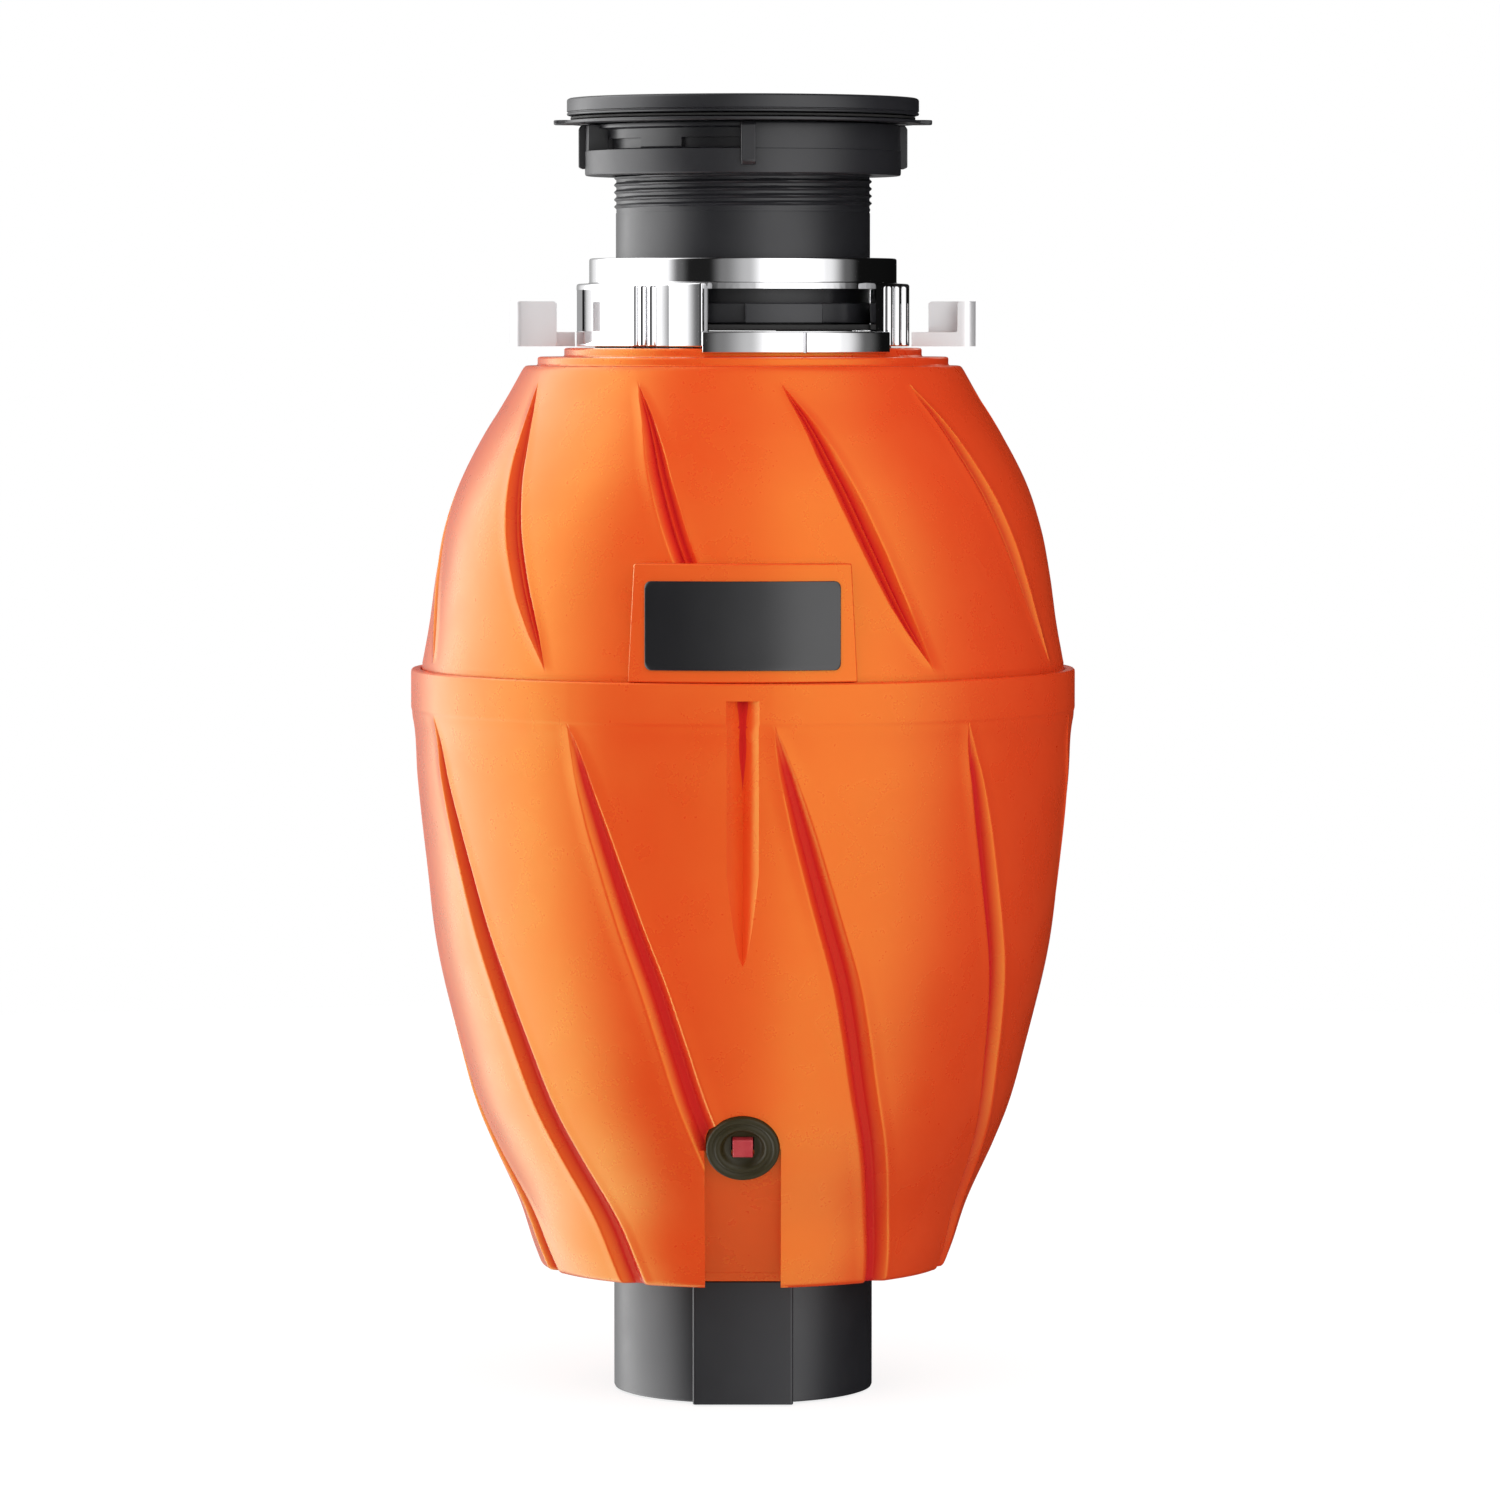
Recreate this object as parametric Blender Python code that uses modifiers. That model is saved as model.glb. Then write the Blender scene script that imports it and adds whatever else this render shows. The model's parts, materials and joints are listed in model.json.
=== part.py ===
"""Kitchen garbage disposal: faceted solid model, one object for each piece.

Frame: metres, +Z up along the motor axis, front of the appliance towards -Y,
origin on the axis at the underside of the base cup.
All driving dimensions below are in millimetres.
"""
import math

import bmesh
import bpy
from mathutils import Matrix, Vector

MM = 0.001
GAP = 0.3                    # clearance between touching pieces

# ---------------------------------------------------------------- dimensions
# steps round the axis
N_HOUSING = 24               # the two outer shells
N_SHELL = 24
N_MID = 24
N_SMALL = 16

# outer shell
BELT_R = 106.1               # widest radius, at the belt
SEAM_Z = 231.0               # top ledge of the lower shell
SHELL_T = 3.0
BASE_R = 41.4                # base cup
BASE_TOP_Z = 45.0
SHELL_FLOOR_Z = 39.7
PAD_R = 105.2                # name plate pad
PAD_Z = (231.4, 267.5)
PAD_W = (72.0, 68.0)         # width at the bottom and at the top
PLATE_W, PLATE_Z, PLATE_T = 61.0, (234.9, 262.2), 1.2

# reset button group, in a tilted frame
NOTCH_W = 23.7
BUTTON_POS = (0.0, -82.8, 85.4)
BUTTON_TILT = 27.0           # degrees below horizontal
BEZEL_R = 11.4
BUTTON_SIDE = 6.6

# discharge and inlet
OUTLET_Z = 231.5
OUTLET_R = 22.0
OUTLET_BORE = 17.5
OUTLET_END_Y = 106.1
NIPPLE_Z = 291.0
NIPPLE_R, NIPPLE_BORE, NIPPLE_END = 11.0, 8.5, 104.0

# motor
MOTOR_R = 62.0
MOTOR_T = 2.0
STATOR_R, STATOR_BORE = 59.7, 33.3
STATOR_Z = (95.0, 165.0)
SLOTS = 12
ROTOR_R = 32.5
BOLT_PCR = 56.5
SHAFT_R = 8.0

# grinding set
DISC_R, DISC_Z = 63.4, (258.0, 260.5)
RING_R_OUT, RING_R_IN = 66.9, 64.7
RING_Z = (254.3, 280.0)
IMPELLER_R = 38.0            # radius of the impeller pins

# sink mount
SLEEVE_R, SLEEVE_BORE = 40.5, 37.5
SLEEVE_Z = (338.8, 412.2)
THREAD_R, THREAD_Z = 41.2, (376.8, 403.6)
RIM_R, RIM_Z0 = 56.1, 406.6
NUT_BAND_R, NUT_WALL_R, NUT_Z = 50.5, 43.8, (387.5, 403.8)
NUT_BORE = 41.7
LOCK_SKIRT_R, LOCK_Z = 53.1, (333.5, 353.4)
LOCK_COLLAR_R, LOCK_TOP_Z = 49.0, 361.5
LUG_R, LUG_ARM_Z, LUG_TOP_Z = 74.3, 338.0, 347.8

# ---------------------------------------------------------------- scene set-up
for old in list(bpy.data.objects):
    bpy.data.objects.remove(old, do_unlink=True)

PARTS = bpy.data.collections.new("kitchen_garbage_disposal")
CUTTERS = bpy.data.collections.new("cutters")
bpy.context.scene.collection.children.link(PARTS)
bpy.context.scene.collection.children.link(CUTTERS)


def material(name, colour, roughness, metallic=0.0):
    """A Principled material with one colour."""
    mat = bpy.data.materials.new(name)
    mat.use_nodes = True
    bsdf = mat.node_tree.nodes["Principled BSDF"]
    bsdf.inputs["Base Color"].default_value = (*colour, 1.0)
    bsdf.inputs["Roughness"].default_value = roughness
    bsdf.inputs["Metallic"].default_value = metallic
    mat.diffuse_color = (*colour, 1.0)
    return mat


ORANGE = (0.86, 0.17, 0.03)
BLACK = (0.035, 0.035, 0.04)
RUBBER = (0.03, 0.03, 0.03)
STEEL = (0.56, 0.56, 0.58)
CAST = (0.45, 0.46, 0.48)
CHROME = (0.86, 0.86, 0.88)
BRONZE = (0.55, 0.36, 0.16)
COPPER = (0.62, 0.26, 0.12)
LAMINATE = (0.30, 0.31, 0.33)
FOAM = (0.80, 0.79, 0.74)
RED = (0.52, 0.03, 0.05)
PALE = (0.72, 0.73, 0.74)


# ---------------------------------------------------------------- builders
def register(obj, colour=None, rough=0.5, metal=0.0, cutter=False):
    """Put the object in its collection and give it its material."""
    if cutter:
        CUTTERS.objects.link(obj)
        obj.hide_render = True
        obj.display_type = 'WIRE'
    else:
        PARTS.objects.link(obj)
        obj.data.materials.append(material(obj.name + "_mat", colour, rough, metal))
        obj.data.shade_smooth()
        obj.data.set_sharp_from_angle(angle=math.radians(32))
    return obj


def from_bmesh(name, bm):
    bmesh.ops.recalc_face_normals(bm, faces=bm.faces)
    mesh = bpy.data.meshes.new(name)
    bm.to_mesh(mesh)
    bm.free()
    return bpy.data.objects.new(name, mesh)


def turned(name, profile, steps=N_SHELL, look=None, cutter=False):
    """A profile in r, z (mm) turned about Z.

    A closed loop, or an open line whose two ends are on the axis.  The loop
    is put in the order that runs down its outer side.
    """
    pts = [(r * MM, z * MM) for r, z in profile]
    closed = min(p[0] for p in pts) > 1e-7
    area = sum(pts[i][0] * pts[(i + 1) % len(pts)][1] - pts[(i + 1) % len(pts)][0] * pts[i][1]
               for i in range(len(pts)))
    if area > 0:
        pts.reverse()
    mesh = bpy.data.meshes.new(name)
    edges = [(i, i + 1) for i in range(len(pts) - 1)]
    if closed:
        edges.append((len(pts) - 1, 0))
    mesh.from_pydata([(r, 0.0, z) for r, z in pts], edges, [])
    obj = bpy.data.objects.new(name, mesh)
    screw = obj.modifiers.new("turn", 'SCREW')
    screw.axis = 'Z'
    screw.angle = 2 * math.pi
    screw.steps = steps
    screw.render_steps = steps
    screw.use_merge_vertices = True
    screw.merge_threshold = 0.00001
    screw.use_smooth_shade = True
    return register(obj, *(look or ()), cutter=cutter)


def box(name, lo, hi, look=None, cutter=False):
    """A box between two corners in mm."""
    bm = bmesh.new()
    bmesh.ops.create_cube(bm, size=1.0)
    for v in bm.verts:
        v.co = Vector([(lo[i] + (hi[i] - lo[i]) * (v.co[i] + 0.5)) * MM for i in range(3)])
    return register(from_bmesh(name, bm), *(look or ()), cutter=cutter)


def rod(name, r, z0, z1, at=(0.0, 0.0), seg=N_SMALL, look=None, cutter=False, r_top=None, turn=0.0):
    """A cylinder or a prism along Z, with its centre line at a point."""
    bm = bmesh.new()
    bmesh.ops.create_cone(bm, cap_ends=True, cap_tris=False, segments=seg, radius1=r * MM,
                          radius2=(r if r_top is None else r_top) * MM, depth=(z1 - z0) * MM)
    obj = from_bmesh(name, bm)
    obj.data.transform(Matrix.Rotation(math.radians(turn), 4, 'Z'))
    obj.data.transform(Matrix.Translation((0.0, 0.0, (z0 + z1) / 2 * MM)))
    obj.location = (at[0] * MM, at[1] * MM, 0.0)
    return register(obj, *(look or ()), cutter=cutter)


def rod_along(name, r, start, end, seg=N_SMALL, look=None, cutter=False):
    """A cylinder between two points in mm."""
    a, b = Vector(start) * MM, Vector(end) * MM
    bm = bmesh.new()
    bmesh.ops.create_cone(bm, cap_ends=True, cap_tris=False, segments=seg, radius1=r * MM,
                          radius2=r * MM, depth=(b - a).length)
    obj = from_bmesh(name, bm)
    obj.data.transform((b - a).to_track_quat('Z', 'Y').to_matrix().to_4x4())
    obj.location = (a + b) / 2
    return register(obj, *(look or ()), cutter=cutter)


def plate(name, outlines, z0, z1, look=None, cutter=False):
    """A flat outline with holes, in x, y (mm), thickened from z0 to z1."""
    curve = bpy.data.curves.new(name + "_outline", 'CURVE')
    curve.dimensions = '2D'
    curve.fill_mode = 'BOTH'
    curve.extrude = (z1 - z0) / 2 * MM
    for outline in outlines:
        spline = curve.splines.new('POLY')
        spline.points.add(len(outline) - 1)
        for point, (x, y) in zip(spline.points, outline):
            point.co = (x * MM, y * MM, 0.0, 1.0)
        spline.use_cyclic_u = True
    guide = bpy.data.objects.new(name + "_curve", curve)
    guide.location = (0.0, 0.0, (z0 + z1) / 2 * MM)
    bpy.context.scene.collection.objects.link(guide)
    bpy.context.view_layer.update()
    graph = bpy.context.evaluated_depsgraph_get()
    mesh = bpy.data.meshes.new_from_object(guide.evaluated_get(graph))
    world = guide.matrix_world.copy()
    bpy.data.objects.remove(guide, do_unlink=True)
    bm = bmesh.new()
    bm.from_mesh(mesh)
    bmesh.ops.remove_doubles(bm, verts=bm.verts, dist=0.000002)
    bmesh.ops.recalc_face_normals(bm, faces=bm.faces)
    bm.to_mesh(mesh)
    bm.free()
    mesh.name = name
    mesh.materials.clear()
    obj = bpy.data.objects.new(name, mesh)
    obj.matrix_world = world
    return register(obj, *(look or ()), cutter=cutter)


def prism_x(name, outline, x0, x1, cutter=False, look=None):
    """An outline in y, z (mm) thickened along X."""
    obj = plate(name, [outline], x0, x1, look=look, cutter=cutter)
    # the flat outline's x, y, z become y, z, x
    swap = Matrix(((0, 0, 1, 0), (1, 0, 0, 0), (0, 1, 0, 0), (0, 0, 0, 1)))
    obj.matrix_world = swap @ obj.matrix_world
    return obj


def boolean(obj, other, operation='DIFFERENCE'):
    mod = obj.modifiers.new(operation.lower() + "_" + other.name, 'BOOLEAN')
    mod.operation = operation
    mod.solver = 'EXACT'
    mod.object = other
    return obj


def arc(r, a0, a1, n):
    """Points on an arc, from angle a0 to a1 in degrees."""
    return [(r * math.cos(math.radians(a0 + (a1 - a0) * i / n)),
             r * math.sin(math.radians(a0 + (a1 - a0) * i / n))) for i in range(n + 1)]


def circle(r, n, centre=(0.0, 0.0), turn=0.0):
    return [(centre[0] + r * math.cos(2 * math.pi * i / n + turn),
             centre[1] + r * math.sin(2 * math.pi * i / n + turn)) for i in range(n)]


def sector(name, r0, r1, a0, a1, z0, z1, n=6, cutter=True, look=None):
    """A piece of a ring between two angles (degrees from +X)."""
    return plate(name, [arc(r1, a0, a1, n) + arc(r0, a1, a0, n)], z0, z1, cutter=cutter, look=look)


def axis_empty(name, at=(0.0, 0.0, 0.0)):
    """An empty on a joint's axis, the parent of what moves with it."""
    empty = bpy.data.objects.new(name, None)
    empty.location = Vector(at) * MM
    empty.empty_display_size = 0.02
    PARTS.objects.link(empty)
    return empty


def hang(empty, *objs):
    bpy.context.view_layer.update()
    for obj in objs:
        obj.parent = empty
        obj.matrix_parent_inverse = empty.matrix_world.inverted()


# ---------------------------------------------------------------- outer shell
LOWER_OUT = [(BELT_R, SEAM_Z), (BELT_R, 218.0), (105.3, 214.0), (104.1, 196.9), (101.4, 171.3),
             (97.5, 141.0), (90.9, 112.4), (84.2, 88.9), (80.7, 80.3), (71.3, 59.3),
             (67.0, 46.1), (64.9, 40.6), (63.6, SHELL_FLOOR_Z)]
LOWER_IN = [(41.9, SHELL_FLOOR_Z), (41.9, 42.7), (62.2, 42.7), (68.3, 59.8), (81.2, 89.9),
            (94.5, 141.6), (101.1, 196.9), (103.1, 218.0), (103.1, SEAM_Z)]
UPPER_OUT = [(57.0, 333.0), (57.0, 330.2), (65.5, 330.2), (65.5, 327.4), (69.6, 327.4), (74.7, 318.3),
             (82.8, 304.7), (90.6, 289.2), (95.2, 275.3), (97.9, 261.3), (100.3, 244.2),
             (102.6, SEAM_Z + 0.8), (102.6, 226.0)]
UPPER_IN = [(99.4, 226.0), (99.4, 232.0), (94.9, 261.3), (87.4, 289.2), (79.4, 304.7),
            (66.5, 324.2), (51.2, 327.2), (51.2, 333.0)]

plastic = (ORANGE, 0.42, 0.0)
housing_lower = turned("housing_lower", LOWER_OUT + LOWER_IN, N_HOUSING, plastic)
housing_upper = turned("housing_upper", UPPER_OUT + UPPER_IN, N_HOUSING, plastic)

# channel under the reset button: an inner liner joined to the shell, then the channel cut
tilt = math.radians(BUTTON_TILT)
out_n = Vector((0.0, -math.cos(tilt), -math.sin(tilt)))      # outward normal of the button face
button_c = Vector(BUTTON_POS)


def on_button_axis(d):
    """Point at a distance d (mm) outwards along the button's axis."""
    return tuple(button_c + out_n * d)


lower_solid = turned("lower_core", [(0.0, 92.0), (83.2, 92.0), (79.2, 80.3), (69.8, 59.3), (65.5, 46.1),
                                    (62.6, 41.2), (0.0, 41.2)], N_HOUSING, cutter=True)
WALL_A, WALL_B = (-80.5, 86.0), (-46.0, 39.0)                # channel back wall in y, z
liner = prism_x("channel_liner", [(-100.0, 41.2), (-45.0, 41.2), (-77.7, 85.8), (-77.7, 90.0), (-100.0, 90.0)],
                -NOTCH_W / 2 - 2.4, NOTCH_W / 2 + 2.4, cutter=True)
boolean(liner, lower_solid, 'INTERSECT')
channel = prism_x("channel_cut", [(-120.0, 30.0), (-41.0, 30.0), (-46.0, 39.0), WALL_A, (-120.0, 86.0)],
                  -NOTCH_W / 2, NOTCH_W / 2, cutter=True)
bezel_hole = rod_along("bezel_hole", BEZEL_R + 0.35, on_button_axis(-32), on_button_axis(20), 20, cutter=True)
boolean(housing_lower, liner, 'UNION')
boolean(housing_lower, channel)
boolean(housing_lower, bezel_hole)

# shallow tapered groove down the front
groove = plate("front_groove", [[(-5.1, 0.0), (-5.1, -61.0), (0.0, -82.8), (5.1, -61.0), (5.1, 0.0)]],
               -1.0, 1.0, cutter=True)
groove.matrix_world = (Matrix.Translation((0.0, -105.0 * MM, 225.6 * MM))
                       @ Matrix.Rotation(math.radians(90 + 4.2), 4, 'X') @ Matrix.Scale(1.0, 4))
boolean(housing_lower, groove)

# discharge hole through both shells, and the dishwasher inlet's hole
outlet_hole = rod_along("outlet_hole", 26.4, (0, 88, OUTLET_Z), (0, 115, OUTLET_Z), 20, cutter=True)
boolean(housing_lower, outlet_hole)
boolean(housing_upper, outlet_hole)


def on_inlet_axis(d):
    """Point on the dishwasher inlet's axis, which runs to the back above the outlet."""
    return (0.0, d, NIPPLE_Z)


inlet_hole = rod_along("inlet_hole", NIPPLE_R + 0.6, on_inlet_axis(69), on_inlet_axis(110), N_SMALL, cutter=True)
boolean(housing_upper, inlet_hole)

# name plate pad on the upper shell's front, flush with the belt
pad_ring = turned("pad_ring", [(PAD_R, PAD_Z[1]), (PAD_R, PAD_Z[0]), (100.8, PAD_Z[0]), (95.4, PAD_Z[1])],
                  72, cutter=True)
pad_wedge = plate("pad_wedge", [[(-PAD_W[0] / 2, 0.0), (PAD_W[0] / 2, 0.0), (PAD_W[1] / 2, PAD_Z[1] - PAD_Z[0]),
                                 (-PAD_W[1] / 2, PAD_Z[1] - PAD_Z[0])]], -20.0, 20.0, cutter=True)
pad_wedge.matrix_world = (Matrix.Translation((0.0, -98.0 * MM, PAD_Z[0] * MM))
                          @ Matrix.Rotation(math.radians(90), 4, 'X'))
boolean(pad_ring, pad_wedge, 'INTERSECT')
boolean(housing_upper, pad_ring, 'UNION')

# cord gland hole in the shell's floor
GLAND_AT = (0.0, 53.0)
boolean(housing_lower, rod("gland_hole", 6.6, 36.0, 46.0, GLAND_AT, cutter=True))

# the plate lies on the pad, just proud of it
name_plate = turned("name_plate", [(BELT_R - 0.1, PLATE_Z[1]), (BELT_R - 0.1, PLATE_Z[0]),
                                   (PAD_R + 0.25, PLATE_Z[0]), (PAD_R + 0.25, PLATE_Z[1])], 72,
                    (BLACK, 0.15, 0.0))
plate_window = plate("plate_window", [[
    (-PLATE_W / 2 + 1.6, 0.0), (PLATE_W / 2 - 1.6, 0.0), (PLATE_W / 2, 1.6), (PLATE_W / 2, 25.7),
    (PLATE_W / 2 - 1.6, 27.3), (-PLATE_W / 2 + 1.6, 27.3), (-PLATE_W / 2, 25.7), (-PLATE_W / 2, 1.6)]],
    -20.0, 20.0, cutter=True)
plate_window.matrix_world = (Matrix.Translation((0.0, -98.0 * MM, PLATE_Z[0] * MM))
                             @ Matrix.Rotation(math.radians(90), 4, 'X'))
boolean(name_plate, plate_window, 'INTERSECT')

# ---------------------------------------------------------------- base
SCREW_PCR = 30.0
SCREW_ANGLES = (90.0, 210.0, 330.0)
base_cup = turned("base_cup", [(BASE_R, 42.9), (BASE_R, 0.0), (9.0, 0.0), (9.0, 5.0), (38.9, 5.0),
                               (38.9, BASE_TOP_Z), (44.4, BASE_TOP_Z), (44.4, 43.0)],
                  N_MID, (BLACK, 0.38, 0.0))
base_panel = box("base_panel", (-15.85, -43.5, 0.0), (15.85, -38.2, 39.2), cutter=True)
boolean(base_cup, base_panel, 'UNION')
for i, a in enumerate(SCREW_ANGLES):
    x, y = SCREW_PCR * math.cos(math.radians(a)), SCREW_PCR * math.sin(math.radians(a))
    boolean(base_cup, rod(f"cup_recess_{i}", 4.2, -1.0, 2.6, (x, y), 16, cutter=True))
    boolean(base_cup, rod(f"cup_screw_hole_{i}", 2.0, 1.0, 8.0, (x, y), 12, cutter=True))
    screw = turned(f"base_screw_{i + 1}", [(0.0, 15.0), (1.6, 15.0), (1.6, 2.2), (3.7, 2.2), (3.7, 0.8),
                                           (3.0, 0.4), (0.0, 0.4)], 12, (STEEL, 0.3, 1.0))
    screw.location = (x * MM, y * MM, 0.0)

cord_gland = turned("cord_gland", [(6.2, 47.0), (6.2, 39.4), (9.0, 39.4), (9.0, 37.6), (6.4, 34.8), (3.8, 34.8),
                                   (3.8, 47.0)], 16, (BLACK, 0.5, 0.0))
cord_gland.location = (GLAND_AT[0] * MM, GLAND_AT[1] * MM, 0.0)

# ---------------------------------------------------------------- reset button group
button_frame = Matrix.Translation(button_c * MM) @ out_n.to_track_quat('Z', 'Y').to_matrix().to_4x4()
reset_bezel = turned("reset_bezel", [(BEZEL_R - 0.9, 0.2), (BEZEL_R, -0.6), (BEZEL_R, -6.0), (3.0, -6.0), (3.0, -2.0),
                                     (5.8, -2.0), (6.6, -0.4), (6.9, 0.2)], 28, ((0.02, 0.016, 0.0), 0.35, 0.0))
reset_bezel.matrix_world = button_frame
button_slot = box("button_slot", (-BUTTON_SIDE / 2 - 0.35, -BUTTON_SIDE / 2 - 0.35, -9.0),
                  (BUTTON_SIDE / 2 + 0.35, BUTTON_SIDE / 2 + 0.35, 3.0), cutter=True)
button_slot.matrix_world = button_frame
boolean(reset_bezel, button_slot)
reset_button = box("reset_button", (-BUTTON_SIDE / 2, -BUTTON_SIDE / 2, -5.9),
                   (BUTTON_SIDE / 2, BUTTON_SIDE / 2, -0.3), (RED, 0.35, 0.0))
reset_button.matrix_world = button_frame
overload_protector = box("overload_protector", (-9.0, -8.0, -17.0), (9.0, 7.0, -6.3), (BLACK, 0.5, 0.0))
overload_protector.matrix_world = button_frame
plunger_well = box("plunger_well", (-4.2, -4.2, -9.4), (4.2, 4.2, -4.0), cutter=True)
plunger_well.matrix_world = button_frame
boolean(overload_protector, plunger_well)

# ---------------------------------------------------------------- motor
BOLT_ANGLES = (45.0, 135.0, 225.0, 315.0)


def polar(r, a):
    return (r * math.cos(math.radians(a)), r * math.sin(math.radians(a)))


motor_shell = turned("motor_shell", [(MOTOR_R, 203.0), (MOTOR_R, 72.3), (MOTOR_R - MOTOR_T, 72.3),
                                     (MOTOR_R - MOTOR_T, 203.0)], N_SHELL, (STEEL, 0.35, 1.0))

lower_end_bell = turned("lower_end_bell",
                        [(59.7, 77.0), (59.7, 72.0), (62.0, 72.0), (62.0, 66.0), (20.0, 66.0), (20.0, 57.0),
                         (9.6, 57.0), (9.6, 60.0), (13.3, 60.0), (13.3, 76.0), (18.0, 76.0), (20.0, 70.5),
                         (52.0, 70.5), (52.0, 77.0)], N_MID, (CAST, 0.5, 1.0))
for i, a in enumerate(SCREW_ANGLES):
    boolean(lower_end_bell, rod(f"bell_leg_{i}", 4.6, 5.3, 67.0, polar(SCREW_PCR, a), 14, cutter=True), 'UNION')
for i, a in enumerate(SCREW_ANGLES):
    boolean(lower_end_bell, rod(f"bell_leg_bore_{i}", 2.0, 3.0, 17.0, polar(SCREW_PCR, a), 12, cutter=True))

# slotted stack: bore, slots that open into the bore, and four notches for the bolts
inner = []
for k in range(SLOTS):
    mid = 360.0 / SLOTS * k
    for r, half in ((STATOR_BORE, 1.3), (36.2, 1.3), (36.6, 4.7), (50.4, 4.9)):
        a = math.degrees(math.asin(half / r))
        inner.append((mid - a, r))
    for r, half in ((50.4, 4.9), (36.6, 4.7), (36.2, 1.3), (STATOR_BORE, 1.3)):
        a = math.degrees(math.asin(half / r))
        inner.append((mid + a, r))
    inner.append((mid + 180.0 / SLOTS, STATOR_BORE))
outer = []
for k in range(N_SHELL):
    a = 360.0 / N_SHELL * k
    if min(abs(a - b) for b in BOLT_ANGLES) > 4.0:
        outer.append((a, STATOR_R))
for b in BOLT_ANGLES:
    outer += [(b - 3.9, STATOR_R - 0.4), (b - 3.0, 55.0), (b, 53.4), (b + 3.0, 55.0), (b + 3.9, STATOR_R - 0.4)]
outer.sort(key=lambda p: p[0])
stator_core = plate("stator_core", [[polar(r, a) for a, r in outer], [polar(r, a) for a, r in inner]],
                    STATOR_Z[0], STATOR_Z[1], (LAMINATE, 0.45, 1.0))

# copper: a bundle in each slot, joined by the end turns above and below the stack
stator_winding = turned("stator_winding", [(51.0, 94.7), (51.0, 82.0), (47.0, 79.0), (38.0, 79.0), (35.0, 82.0),
                                           (35.0, 94.7)], N_MID, (COPPER, 0.4, 1.0))
upper_turns = turned("upper_turns", [(48.0, 183.0), (51.0, 180.0), (51.0, 165.3), (35.0, 165.3), (35.0, 180.0),
                                     (38.0, 183.0)], N_MID, cutter=True)
bars = None
for k in range(SLOTS):
    a = 360.0 / SLOTS * k
    bar = plate(f"slot_bar_{k}", [[(37.2, -3.9), (49.4, -4.2), (49.4, 4.2), (37.2, 3.9)]], 90.0, 170.0, cutter=True)
    bar.matrix_world = Matrix.Rotation(math.radians(a), 4, 'Z') @ bar.matrix_world
    boolean(stator_winding, bar, 'UNION')
boolean(stator_winding, upper_turns, 'UNION')

lower_bearing = turned("lower_bearing", [(13.0, 75.5), (13.0, 60.4), (8.4, 60.4), (8.4, 75.5)], 24,
                       (BRONZE, 0.35, 1.0))
thrust_washer = turned("thrust_washer", [(13.0, 79.0), (13.0, 76.3), (8.4, 76.3), (8.4, 79.0)], 24, (STEEL, 0.3, 1.0))
upper_bearing = turned("upper_bearing", [(13.0, 206.0), (13.0, 190.4), (8.4, 190.4), (8.4, 206.0)], 24,
                       (BRONZE, 0.35, 1.0))
shaft_seal = turned("shaft_seal", [(12.0, 215.2), (12.0, 209.1), (8.9, 209.1), (8.4, 211.0), (8.4, 213.0), (9.4, 215.2)],
                    24, (RUBBER, 0.6, 0.0))

drain_housing = turned("drain_housing",
                       [(76.0, 254.0), (76.0, 250.5), (70.0, 247.5), (70.0, 212.0), (66.0, 203.3), (59.7, 203.3),
                        (59.7, 196.0), (52.0, 196.0), (52.0, 203.0), (20.0, 205.0), (20.0, 190.0), (13.3, 190.0),
                        (13.3, 206.3), (9.6, 206.3), (9.6, 208.8), (12.3, 208.8), (12.3, 215.2), (16.0, 215.2),
                        (19.0, 210.5), (57.0, 209.5), (63.8, 216.0), (63.8, 254.0)], N_MID, (CAST, 0.5, 1.0))
boolean(drain_housing, rod_along("outlet_boss", OUTLET_R, (0, 62, OUTLET_Z), (0, OUTLET_END_Y, OUTLET_Z), 28,
                                 cutter=True), 'UNION')
boolean(drain_housing, rod_along("outlet_bore", OUTLET_BORE, (0, 50, OUTLET_Z), (0, 115, OUTLET_Z), 20, cutter=True))
for i, a in enumerate(BOLT_ANGLES):
    x, y = polar(BOLT_PCR, a)
    boolean(drain_housing, rod(f"tapped_hole_{i}", 2.35, 190.0, 207.0, (x, y), 12, cutter=True))
    boolean(lower_end_bell, rod(f"bolt_hole_{i}", 2.35, 60.0, 80.0, (x, y), 12, cutter=True))
    bolt = turned(f"through_bolt_{i + 1}", [(0.0, 206.4), (2.0, 206.4), (2.0, 65.7), (4.0, 65.7), (4.0, 62.6),
                                            (0.0, 62.6)], 12, (STEEL, 0.3, 1.0))
    bolt.location = (x * MM, y * MM, 0.0)

outlet_grommet = turned("outlet_grommet", [(26.0, 104.9), (26.0, 95.0), (22.35, 95.0), (22.35, 104.9)], 28,
                        (RUBBER, 0.7, 0.0))
outlet_grommet.matrix_world = Matrix.Translation((0, 0, OUTLET_Z * MM)) @ Matrix.Rotation(math.radians(-90), 4, 'X')

# electrical pieces on the motor shell
CAP_AT = polar(78.3, 135.0)
capacitor = turned("capacitor", [(0.0, 198.0), (12.8, 198.0), (14.0, 196.8), (14.0, 139.2), (12.8, 138.0), (0.0, 138.0)],
                   N_SMALL, (PALE, 0.35, 1.0))
capacitor.location = (CAP_AT[0] * MM, CAP_AT[1] * MM, 0.0)
capacitor_clamp = turned("capacitor_clamp", [(15.6, 172.0), (15.6, 160.0), (14.4, 160.0), (14.4, 172.0)], N_SMALL,
                         (STEEL, 0.35, 1.0))
capacitor_clamp.location = (CAP_AT[0] * MM, CAP_AT[1] * MM, 0.0)
clamp_foot = box("clamp_foot", (62.6, -9.0, 158.0), (63.9, 9.0, 174.0), cutter=True)
clamp_foot.matrix_world = Matrix.Rotation(math.radians(135.0), 4, 'Z')
boolean(capacitor_clamp, clamp_foot, 'UNION')
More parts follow.
